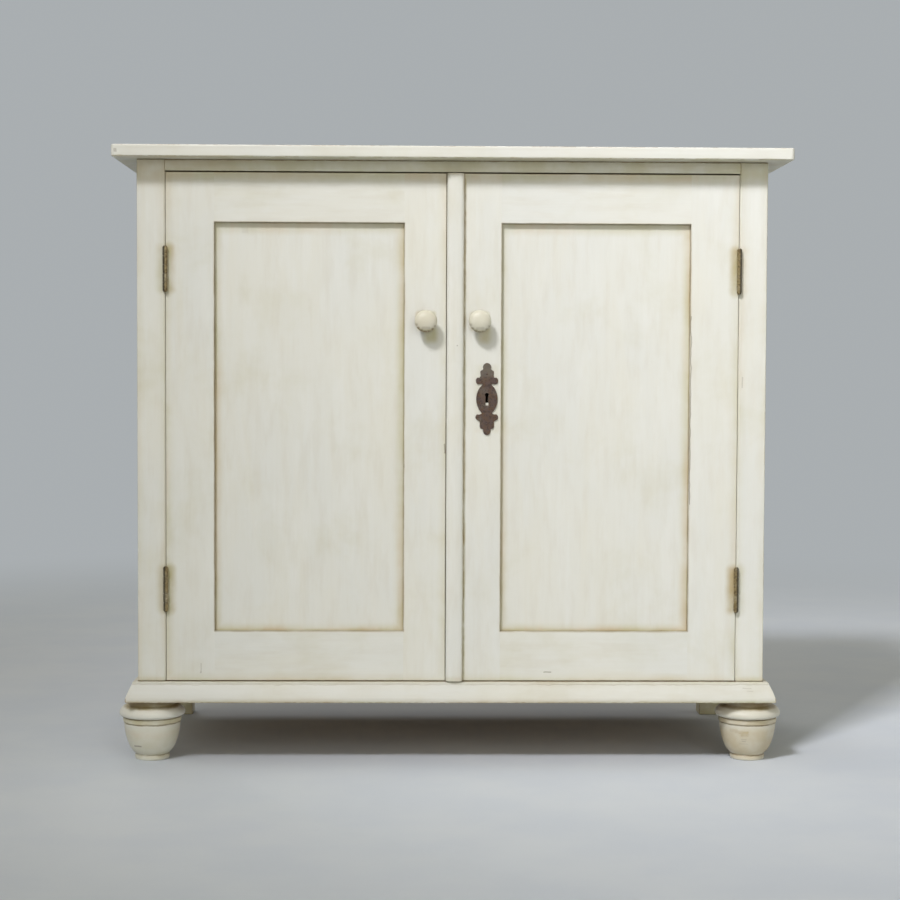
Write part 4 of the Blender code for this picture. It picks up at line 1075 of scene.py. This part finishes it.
def buildFeet(given):
    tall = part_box("base_left_rail")[0].z
    profile = smoothRuns(given["runs"], given["steps"])
    for side, hand in sides:
        node = "front_" + side + "_foot"
        low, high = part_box(node)
        centre = middleOf(node)
        radius = (high.x - low.x) / 2

        def worn(across, front, up, half, soft, strength):
            place = Vector((centre.x + across * mm, centre.y - front * mm, up * tall))
            return place, Vector(half) * mm, soft * mm, strength

        mesh = lathe([(across * radius, up * tall) for across, up in profile], given["facets"],
                     (centre.x, centre.y, 0))
        handWork(mesh, given["unevenness"], 22.0, 7.0 + hand)
        standOnFloor(mesh)
        neck = given["neck"] * tall
        lines = [band(2, share * tall, 0.5 * mm, 1.1 * mm, 0.75) for share in given["grooves"]]
        lines += [band(2, neck + 3 * mm, 3.5 * mm, 2.0 * mm, 1.0),
                  band(2, neck - 2 * mm, 1.5 * mm, 5.0 * mm, 0.85)]
        stain = [band(2, share * tall, half * mm, soft * mm, strength)
                 for share, half, soft, strength in given["stains"]]
        stain.append(band(2, 0.32 * tall, 14 * mm, 18 * mm, given["stain"][side]))
        front, depth, thick, soft = given["scratchForm"][side]
        marks = [worn(across, front, up, (half, depth, thick), soft, strength)
                 for across, up, half, strength in given["scratches"][side]]
        for across, up, half, strength in given["patches"][side]:
            stain.append(worn(across, 38, up, (half, 12, 1.4), 3.4, 2.6 * strength))
            lines.append(worn(across, 38, up, (half, 12, 1.4), 2.4, 0.22 * strength))
        if side == "right":
            lines.append(worn(29, 11, 0.14, (2, 9, 1.5), 2.5, 0.7))
        finishPainted(mesh, node, "turned", 50, wear=0.0, warmth=given["warmth"][side], dirt=0.0,
                      tone=given["tone"][side], wax=lines, halo=stain, marks=marks)
        node = "back_" + side + "_foot"
        low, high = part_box(node)
        mesh = boxMesh(low, high)
        soften(mesh, mesh.edges[:], given["blockEdge"])
        cutEvenly(mesh, 2, low.z, high.z, given["blockPitch"])
        handWork(mesh, given["unevenness"], 25.0, 9.0 + hand)
        standOnFloor(mesh)
        # The back feet are tinted dark olive all over: dirt, and painted shade for their place under the
        # cupboard
        finishPainted(mesh, node, "Z", wear=0.8, warmth=1.0, halo=[band(2, 0, 0.07, 0.06, 1.2)])


# Turned door knobs: shares of the knob radius and of its projection. Dirt and painted shade darken the lower
# rim at these angles, with these strengths, and the back of the knob at the wax share of its projection.
knobSet = {
    "runs": [[(0.640, 0.000), (0.645, 0.030), (0.610, 0.062)],
             [(0.610, 0.062), (0.520, 0.110), (0.470, 0.220), (0.500, 0.330), (0.640, 0.420), (0.870, 0.490),
              (0.975, 0.560), (1.000, 0.640), (0.975, 0.730), (0.880, 0.830), (0.700, 0.920), (0.440, 0.975),
              (0.200, 0.995), (0.040, 1.000)]],
    "steps": 5,
    "facets": 72,
    "clearance": 0.1 * mm,
    "unevenness": 0.15 * mm,
    "wax": 0.30,
    "rimGrimeAndShade": ((-160, 0.5), (-138, 0.8), (-116, 1.1), (-94, 1.2), (-72, 1.2), (-50, 1.0), (-28, 0.8)),
}


# Turns a mesh that was made upwards so that it stands out of the doors, to the front or to the back
def turnedOut(mesh, place, way):
    turn = Matrix.Translation(place) @ Matrix.Rotation(way * math.pi / 2, 4, "X")
    bmesh.ops.transform(mesh, matrix=turn, verts=mesh.verts)


def buildKnobs(given):
    for side, hand in sides:
        node = side + "_knob"
        low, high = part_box(node)
        centre = knobs[side]
        radius, reach = (high.x - low.x) / 2, frontY - low.y
        clear = given["clearance"]
        mesh = lathe([(across * radius, clear + up * (reach - clear))
                      for across, up in smoothRuns(given["runs"], given["steps"])], given["facets"])
        turnedOut(mesh, (centre.x, frontY, centre.z), 1)
        handWork(mesh, given["unevenness"], 40.0, 6.0 + hand)

        def soiled(deep, up, half, soft, strength, across=0.0):
            place = Vector((centre.x + across, low.y + deep * mm, centre.z + up))
            return place, Vector(half), soft * mm, strength

        # Dirt and painted shade: the knob is darkened on its back towards the door, along its lower rim and
        # on its underside
        wax = [band(1, frontY - given["wax"] * reach, 0.22 * reach, 0.20 * reach, 0.75)]
        for angle, strength in given["rimGrimeAndShade"]:
            turn = math.radians(angle)
            wax.append(soiled(12, math.sin(turn) * radius, (2 * mm, 8 * mm, 0.6 * mm), 2.6, strength,
                              math.cos(turn) * radius))
        halo = [soiled(15, -radius, (radius, 9 * mm, 4 * mm), 7, 1.1),
                band(1, frontY - 5 * mm, 3.0 * mm, 4 * mm, 1.2),
                soiled(0, -4 * mm, (radius, 9 * mm, radius), 9, 0.45)]
        craze = soiled(0, -11 * mm, (5 * mm, 3 * mm, 0.6 * mm), 2.5, 0.25)
        finishPainted(mesh, node, "X", 50, wear=0.0, warmth=0.80, dirt=0.0, tone=0.95, wax=wax, halo=halo,
                      marks=[craze])


# Butt hinges: each leaf is a plate let into the wood, with barrels turned round the pin
hingeSet = {
    "knuckles": 5,
    "barrelRadius": 3.8 * mm,
    "barrelGap": 0.25 * mm,
    "chamfer": 0.35 * mm,
    "facets": 32,
    "leafFrom": 0.3 * mm,
    "leafTo": 1.9 * mm,
    "leafStart": 4.2 * mm,
    "webFrom": 1.0 * mm,
    "webTo": 4.6 * mm,
    "plateEdge": 0.25 * mm,
    "pinRadius": 1.4 * mm,
    "pinHead": 3.0 * mm,
    "pinRise": 1.6 * mm,
    "pinDome": [(1.0, 1.0), (1.0, 0.6), (0.86, 0.28), (0.55, 0.07), (0.12, 0.0)],
}
leafKinds = (("frame", 1, (0, 2, 4)), ("door", -1, (1, 3)))


def buildHinges(given):
    for (side, level), axis in hinges.items():
        hand = dict(sides)[side]
        for kind, way, own in leafKinds:
            node = side + "_" + level + "_hinge_" + kind + "_leaf"
            low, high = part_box(node)
            pitch = (high.z - low.z) / given["knuckles"]
            near, far = sorted(axis.x + hand * way * given[name] for name in ("leafFrom", "leafTo"))
            plate = boxMesh(Vector((near, axis.y + given["leafStart"], axis.z - 2.5 * pitch)),
                            Vector((far, high.y, axis.z + 2.5 * pitch)))
            soften(plate, plate.edges[:], given["plateEdge"], 2)
            parts = [plate]
            radius, cut = given["barrelRadius"], given["chamfer"]
            for index in own:
                bottom = axis.z - 2.5 * pitch + pitch * index + given["barrelGap"]
                top = bottom + pitch - 2 * given["barrelGap"]
                parts.append(chamferedBar(radius, cut, bottom, top, given["facets"], (axis.x, axis.y, 0)))
                parts.append(boxMesh(Vector((near, axis.y + given["webFrom"], bottom + cut)),
                                     Vector((far, axis.y + given["webTo"], top - cut))))
            finishPiece(joined(parts), node, oldBrass)
        node = side + "_" + level + "_hinge_pin"
        low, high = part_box(node)
        rise, half = given["pinRise"], (high.z - low.z) / 2
        dome = [(across * given["pinHead"], half - down * rise) for across, down in given["pinDome"]]
        shank = [(given["pinRadius"], rise - half), (given["pinRadius"], half - rise)]
        profile = [(across, -up) for across, up in reversed(dome)] + shank + dome
        finishPiece(lathe(profile, given["facets"], axis), node, oldBrass, 30)


# Escutcheon: pierced iron plate, its right half from the top down. Each arc has a centre, two half axes,
# first and last angle and a number of points. Places and axes are shares of the half width and half height.
plateSet = {
    "arcs": [(0.00, 0.885, 0.370, 0.115, 90, -26, 9), (0.41, 0.745, 0.190, 0.058, 82, -12, 6),
             (0.60, 0.640, 0.030, 0.012, 180, 260, 3), (0.78, 0.505, 0.210, 0.092, 118, -82, 11),
             (0.47, 0.402, 0.055, 0.018, 90, 190, 4), (-0.25, 0.00, 1.200, 0.470, 56, -52, 19),
             (0.52, -0.396, 0.050, 0.018, 170, 265, 3), (0.79, -0.505, 0.210, 0.082, 112, -72, 11),
             (0.66, -0.632, 0.035, 0.014, 95, 180, 3), (0.45, -0.765, 0.180, 0.060, 6, -84, 6),
             (0.00, -0.875, 0.340, 0.125, 16, -90, 9)],
    "edge": 0.45 * mm,
    "holeEdge": 0.3 * mm,
    "eyeRise": 6.5 * mm,
    "eyeRadius": 3.2 * mm,
    "stemDrop": 16.5 * mm,
    "stemWidth": 5.2 * mm,
    "neckShare": 0.8,
    "eyePoints": 20,
    "groove": (17.3 * mm, 25.5 * mm),
}


def inset(outline, amount):
    moved = []
    for index, point in enumerate(outline):
        before, after = outline[index - 1], outline[(index + 1) % len(outline)]
        run = Vector((after[0] - before[0], after[1] - before[1])).normalized()
        moved.append((point[0] - run.y * amount, point[1] + run.x * amount))
    return moved


def keyholeLine(centreX, eyeZ, given, grow=0.0):
    radius, width = given["eyeRadius"] + grow, given["stemWidth"] + 2 * grow
    shoulder = math.asin(width / 2 * given["neckShare"] / radius)
    turns = [shoulder - math.pi / 2 + (math.tau - 2 * shoulder) * step / given["eyePoints"]
             for step in range(given["eyePoints"] + 1)]
    line = [(centreX + radius * math.cos(turn), eyeZ + radius * math.sin(turn)) for turn in turns]
    foot = eyeZ - given["stemDrop"] - grow
    return line + [(centreX - width / 2, foot), (centreX + width / 2, foot)]


def buildEscutcheon(given):
    low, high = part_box("escutcheon")
    middle, halfWide, halfTall = plateMiddle, (high.x - low.x) / 2, (high.z - low.z) / 2
    right = []
    for across, up, wide, tall, first, last, count in given["arcs"]:
        for step in range(count):
            turn = math.radians(first + (last - first) * step / (count - 1))
            right.append((across + wide * math.cos(turn), up + tall * math.sin(turn)))
    outline = [(middle.x + x * halfWide, middle.z + z * halfTall)
               for x, z in right + [(-x, z) for x, z in reversed(right[1:-1])]]
    outline.reverse()
    edge, holeEdge = given["edge"], given["holeEdge"]
    eye = middle.z + given["eyeRise"]
    mesh = bmesh.new()

    def ring(line, y):
        return [mesh.verts.new((x, y, z)) for x, z in line]

    def loopEdges(row):
        return [mesh.edges.get((row[step - 1], row[step])) for step in range(len(row))]

    rim = [ring(outline, high.y), ring(outline, low.y + edge),
           ring(inset(outline, 0.3 * edge), low.y + 0.3 * edge), ring(inset(outline, edge), low.y)]
    hole = [ring(keyholeLine(middle.x, eye, given), high.y),
            ring(keyholeLine(middle.x, eye, given), low.y + holeEdge),
            ring(keyholeLine(middle.x, eye, given, holeEdge), low.y)]
    for rows in (rim, hole):
        for first, second in zip(rows, rows[1:]):
            for step in range(len(first)):
                after = (step + 1) % len(first)
                mesh.faces.new((first[step], first[after], second[after], second[step]))
    for index in (0, -1):
        bmesh.ops.triangle_fill(mesh, use_beauty=True, use_dissolve=False,
                                edges=loopEdges(rim[index]) + loopEdges(hole[index]))
    bmesh.ops.recalc_face_normals(mesh, faces=mesh.faces)
    finish = metal("escutcheonIron", metalSet["iron"],
                   ring=(Vector((middle.x, low.y, middle.z - 0.6 * mm)), given["groove"], 0.80),
                   worn=[spot(middle.x, middle.z + 46 * mm, 6 * mm, 6 * mm, 9 * mm, 0.65)])
    finishPiece(mesh, "escutcheon", finish, 30)


# Lock and slide bolts on the backs of the doors
boltSet = {
    "edge": 0.35 * mm,
    "lockBoltEdge": 0.6 * mm,
    "tip": 0.6 * mm,
    "facets": 32,
    "knobRadius": 2.6 * mm,
    "knobFrom": 13.75 * mm,
    "knobRuns": [[(0.62, 0.00), (0.55, 0.30), (0.60, 0.50), (0.92, 0.62), (1.00, 0.76), (0.92, 0.90),
                  (0.62, 0.98), (0.15, 1.00)]],
}


def buildBolts(given):
    for node in ("lock_case", "lock_keeper"):
        board(node, rustyIron, given["edge"], reach=0.0)
    board("lock_bolt", dullSteel, given["lockBoltEdge"], reach=0.0)
    for level in levels:
        board(level + "_bolt_plate", rustyIron, given["edge"], reach=0.0)
        node = level + "_bolt"
        low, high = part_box(node)
        plateLow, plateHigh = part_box(level + "_bolt_plate")
        centreX = (plateLow.x + plateHigh.x) / 2
        radius, tip = centreX - low.x, given["tip"]
        centreY = low.y + radius
        rod = chamferedBar(radius, tip, low.z, high.z, given["facets"], (centreX, centreY, 0))
        knob = lathe([(across * given["knobRadius"], up * (high.y - centreY))
                      for across, up in smoothRuns(given["knobRuns"], 4)], given["facets"])
        knobZ = plateLow.z + given["knobFrom"] if level == "upper" else plateHigh.z - given["knobFrom"]
        turnedOut(knob, (centreX, centreY, knobZ), -1)
        finishPiece(joined([rod, knob]), node, dullSteel)


# Screws, nails and pins: one Geometry Nodes tree sets a domed head on each point, facing the way it is given.
# Each kind has a radius, the height of its dome, the width of its slot, and whether it has a slot.
fastenerSet = {
    "hingeScrew": (1.75 * mm, 0.18 * mm, 0.45 * mm, True),
    "lockScrew": (2.4 * mm, 0.7 * mm, 0.6 * mm, True),
    "plateScrew": (1.6 * mm, 0.5 * mm, 0.5 * mm, True),
    "cleatScrew": (3.2 * mm, 0.3 * mm, 0.8 * mm, True),
    "boardNail": (2.6 * mm, 0.6 * mm, 0.5 * mm, False),
    "platePin": (1.5 * mm, 0.7 * mm, 0.5 * mm, False),
    "segments": 20,
    "rings": 10,
    # The slots are cut at this scale, because a cut through tiny heads can come out empty
    "enlarged": 1000.0,
    # Where they sit
    "leafShares": (-0.36, 0.0, 0.36),
    "leafStagger": 0.16,
    "leafSeat": 0.32 * mm,
    "lockInset": 7 * mm,
    "boltPlateOffsets": (6.3 * mm, 14 * mm),
    "boltPlateSeat": 1.5 * mm,
    "platePinRise": 40 * mm,
    "nailShares": (0.14, 0.5, 0.86),
    "nailSway": (6 * mm, 2 * mm),
    "cleatShares": (0.1, 0.5, 0.9),
}


def buildFastenerTree(given):
    takes = {"Geometry": "Geometry", "Radius": "Float", "Dome": "Float", "Slot Width": "Float",
             "Slotted": "Bool", "Seed": "Int", "Material": "Material"}
    wire, take, give = newGroup("domedFasteners", takes, {"Geometry": "Geometry"}, "GeometryNodeTree")
    radius, dome, slotWidth = (wire.times(take[label], given["enlarged"])
                               for label in ("Radius", "Dome", "Slot Width"))

    def geo(kind, inputs, output="Geometry", **settings):
        return wire.add("GeometryNode" + kind, inputs, **settings).outputs[output]

    ballForm = {"Segments": given["segments"], "Rings": given["rings"], "Radius": radius}
    ball = geo("MeshUVSphere", ballForm, "Mesh")
    flattened = wire.combined(1.0, 1.0, wire.math("DIVIDE", dome, radius))
    head = geo("Transform", {"Geometry": ball, "Scale": flattened})
    size = wire.combined(wire.times(radius, 2.4), slotWidth, wire.times(dome, 1.5))
    cutter = geo("MeshCube", {"Size": size}, "Mesh")
    raised = geo("Transform", {"Geometry": cutter, "Translation": wire.combined(0.0, 0.0, dome)})
    slotted = geo("MeshBoolean", {"Mesh 1": head, "Mesh 2": raised}, "Mesh", operation="DIFFERENCE")
    choices = {"Switch": take["Slotted"], "False": head, "True": slotted}
    chosen = geo("Switch", choices, "Output", input_type="GEOMETRY")
    small = geo("Transform", {"Geometry": chosen, "Scale": [1 / given["enlarged"]] * 3})
    facing = geo("InputNamedAttribute", {"Name": "facing"}, "Attribute", data_type="FLOAT_VECTOR")
    aligned = wire.add("FunctionNodeAlignRotationToVector", {"Vector": facing}, axis="Z").outputs["Rotation"]
    heads = {"Points": take["Geometry"], "Instance": small, "Rotation": aligned}
    placed = geo("InstanceOnPoints", heads, "Instances")
    chance = wire.add("FunctionNodeRandomValue", {"Seed": take["Seed"]}, data_type="FLOAT")
    most = next(socket for socket in chance.inputs if socket.name == "Max" and socket.type == "VALUE")
    wire.put(most, math.pi)
    angle = next(socket for socket in chance.outputs if socket.type == "VALUE" and socket.enabled)
    spins = {"Instances": placed, "Rotation": wire.combined(0.0, 0.0, angle)}
    turned = geo("RotateInstances", spins, "Instances")
    real = geo("RealizeInstances", {"Geometry": turned})
    dressed = geo("SetMaterial", {"Geometry": real, "Material": take["Material"]})
    return closeGroup(wire, give, Geometry=dressed)


def fasteners(name, tree, kind, places, finish, body, seed):
    data = bpy.data.meshes.new(name + "Points")
    data.from_pydata([place for place, facing in places], [], [])
    attribute = data.attributes.new("facing", "FLOAT_VECTOR", "POINT")
    for item, (place, facing) in zip(attribute.data, places):
        item.vector = facing
    holder = linked(name + "Points", data)
    modifier = holder.modifiers.new("heads", "NODES")
    modifier.node_group = tree
    given = dict(zip(("Radius", "Dome", "Slot Width", "Slotted"), fastenerSet[kind]))
    given.update(Seed=seed, Material=finish)
    for item in tree.interface.items_tree:
        if item.in_out == "INPUT" and item.name in given:
            modifier[item.identifier] = given[item.name]
    bpy.context.view_layer.update()
    graph = bpy.context.evaluated_depsgraph_get()
    made = bpy.data.meshes.new_from_object(holder.evaluated_get(graph))
    holder.modifiers.remove(modifier)
    bpy.data.objects.remove(holder, do_unlink=True)
    made.name = name
    finishData(made, name, finish, [], body=body)


def buildFasteners(given):
    tree = buildFastenerTree(given)
    back, front = Vector((0, 1, 0)), Vector((0, -1, 0))
    leaves = {"root": [], "left_door": [], "right_door": []}
    for (side, level), axis in hinges.items():
        hand = dict(sides)[side]
        for kind, way, own in leafKinds:
            low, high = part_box(side + "_" + level + "_hinge_" + kind + "_leaf")
            start = axis.y + hingeSet["leafStart"]
            wide = high.y - start
            body = "root" if kind == "frame" else side + "_door"
            for order, share in enumerate(given["leafShares"]):
                offset = wide * given["leafStagger"] * (-1 if order % 2 else 1)
                at = Vector((axis.x + hand * way * given["leafSeat"], start + wide / 2 + offset,
                             axis.z + (high.z - low.z) * share))
                leaves[body].append((at, Vector((-hand * way, 0, 0))))
    for seed, (body, places) in enumerate(leaves.items()):
        fasteners(camel(body) + "HingeScrews", tree, "hingeScrew", places, oldBrass, body,
                  seed)
    low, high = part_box("lock_case")
    near = given["lockInset"]
    corners = [(Vector((x, high.y, z)), back) for x in (low.x + near, high.x - near)
               for z in (low.z + near, high.z - near)]
    fasteners("lockScrews", tree, "lockScrew", corners, dullSteel, "right_door", 11)
    across, up = given["boltPlateOffsets"]
    places = []
    for level in levels:
        middle = middleOf(level + "_bolt_plate")
        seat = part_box(level + "_bolt_plate")[0].y + given["boltPlateSeat"]
        places += [(Vector((middle.x + x, seat, middle.z + z)), back)
                   for x in (-across, across) for z in (-up, up)]
    fasteners("boltPlateScrews", tree, "plateScrew", places, dullSteel, "left_door", 12)
    face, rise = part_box("escutcheon")[0].y, given["platePinRise"]
    pins = [(Vector((plateMiddle.x, face, plateMiddle.z + z)), front) for z in (-rise, rise)]
    fasteners("escutcheonPins", tree, "platePin", pins, rustyIron, "right_door", 13)
    places = []
    for index in range(1, 5):
        low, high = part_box("back_board_" + str(index))
        for level in (low.z + 8 * mm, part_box("shelf")[1].z - 8 * mm, high.z - 16 * mm):
            for share in given["nailShares"]:
                x = low.x + (high.x - low.x) * share
                sway = noise.noise(Vector((x * 9, level * 7, 1.3)))
                swayX, swayZ = (sway * reach for reach in given["nailSway"])
                places.append((Vector((x + swayX, high.y, level + swayZ)), back))
    fasteners("backBoardNails", tree, "boardNail", places, dullSteel, "root", 14)
    places = []
    for side, hand in sides:
        low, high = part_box(side + "_shelf_cleat")
        inner = low.x if hand > 0 else high.x
        middleZ = (low.z + high.z) / 2
        places += [(Vector((inner, low.y + (high.y - low.y) * share, middleZ)), Vector((-hand, 0, 0)))
                   for share in given["cleatShares"]]
    fasteners("cleatScrews", tree, "cleatScrew", places, dullSteel, "root", 15)


buildTopBoard(carcassSet)
buildCarcass(carcassSet)
print("carcass dressed")
for doorSide, doorHand in sides:
    buildDoor(doorSet, doorSide, doorHand)
buildStrip(stripSet)
print("doors dressed")
buildMouldings(mouldingSet)
buildFeet(footSet)
buildKnobs(knobSet)
print("mouldings, feet and knobs made")
buildHinges(hingeSet)
buildEscutcheon(plateSet)
buildBolts(boltSet)
buildFasteners(fastenerSet)
print("hinges, lock, bolts and fasteners made")


# Floor, lights and background
stageSet = {
    "floor": colour(0.635, 0.675, 0.735),
    "floorPale": colour(0.670, 0.705, 0.750),
    "floorHalf": 20,
    "background": colour(0.400, 0.425, 0.440),
    "floorSheen": 0.0,
    "fadeFrom": 0.9,
    "fadeTo": 3.4,
    "fill": colour(1.0, 0.97, 0.83),
    "fillStrength": 0.47,
    "horizon": {"front": 0.70, "back": 0.12},
    "behind": 0.22,
    "key": {"place": (-1.85, -3.90, 4.95), "aim": (0.75, frontY, 1.25), "size": 0.90, "power": 20.0,
            "spread": 42, "colour": (0.99, 0.993, 1.04)},
    "front": {"place": (0.9, -3.4, 1.4), "aim": (0.1, frontY, 1.0), "size": 1.6, "power": 11.0,
              "spread": 140, "colour": (0.985, 0.985, 0.94)},
    "back": {"place": (-0.9, 2.2, 2.9), "aim": (0, backY, 0.5), "size": 1.4, "power": 9,
             "spread": 120, "colour": (1.0, 0.985, 0.96)},
}


def lamp(name, given):
    data = bpy.data.lights.new(name, "AREA")
    data.shape = "SQUARE"
    data.size = given["size"]
    data.energy = given["power"]
    data.color = given["colour"]
    data.spread = math.radians(given["spread"])
    item = linked(name, data)
    item.location = given["place"]
    item.rotation_euler = (Vector(given["aim"]) - item.location).to_track_quat("-Z", "Y").to_euler()


def backgroundRays(wire):
    rays = wire.add("ShaderNodeLightPath").outputs
    return wire.most(rays["Is Camera Ray"], wire.most(rays["Is Glossy Ray"], rays["Is Transmission Ray"]))


def buildFloor(given):
    mesh = bmesh.new()
    bmesh.ops.create_grid(mesh, x_segments=1, y_segments=1, size=given["floorHalf"])
    floor = linked("floor", toData(mesh, "floor"))
    made, wire, shader = newMaterial("paleFloor")
    place = wire.objectPlace()
    soft = wire.noise(place, 5.0)
    tone = wire.blend(wire.fade(soft, 0.3, 0.7), given["floor"], given["floorPale"])
    wire.put(shader.inputs["Base Color"], tone)
    wire.put(shader.inputs["Roughness"], wire.fade(soft, 0.3, 0.7, 0.55, 0.65))
    shader.inputs["Specular IOR Level"].default_value = given["floorSheen"]
    far = wire.fade(wire.vector("LENGTH", place), given["fadeFrom"], given["fadeTo"])
    glow = wire.add("ShaderNodeEmission", {"Color": given["background"]})
    both = wire.add("ShaderNodeMixShader", {0: wire.times(far, backgroundRays(wire)), 1: shader.outputs[0],
                                            2: glow.outputs[0]})
    out = next(node for node in made.node_tree.nodes if node.type == "OUTPUT_MATERIAL")
    wire.put(out.inputs["Surface"], both.outputs[0])
    floor.data.materials.append(made)


def buildWorld(given):
    world = bpy.data.worlds.new("studio")
    bpy.context.scene.world = world
    world.use_nodes = True
    world.node_tree.nodes.clear()
    wire = Wiring(world.node_tree)
    way = wire.split(wire.add("ShaderNodeTexCoord").outputs["Generated"])
    low = wire.fade(way[1], -0.4, 0.4, given["horizon"]["front"], given["horizon"]["back"])
    share = wire.between(wire.fade(way[2], 0.0, 0.34), low, 1.0)
    share = wire.times(share, wire.fade(way[1], -0.2, 0.5, 1.0, given["behind"]))
    light = wire.add("ShaderNodeBackground", {"Color": given["fill"],
                                              "Strength": wire.times(share, given["fillStrength"])})
    seen = wire.add("ShaderNodeBackground", {"Color": given["background"], "Strength": 1.0})
    both = wire.add("ShaderNodeMixShader", {0: backgroundRays(wire), 1: light.outputs[0], 2: seen.outputs[0]})
    wire.add("ShaderNodeOutputWorld", {"Surface": both.outputs[0]})


buildFloor(stageSet)
buildWorld(stageSet)
for lampName in ("key", "front", "back"):
    lamp(lampName + "Light", stageSet[lampName])
bpy.context.scene.view_settings.view_transform = "Standard"
bare = [name for name, item in frame["nodes"].items() if not item.hide_render]
print("stage built, nodes still bare:", bare)
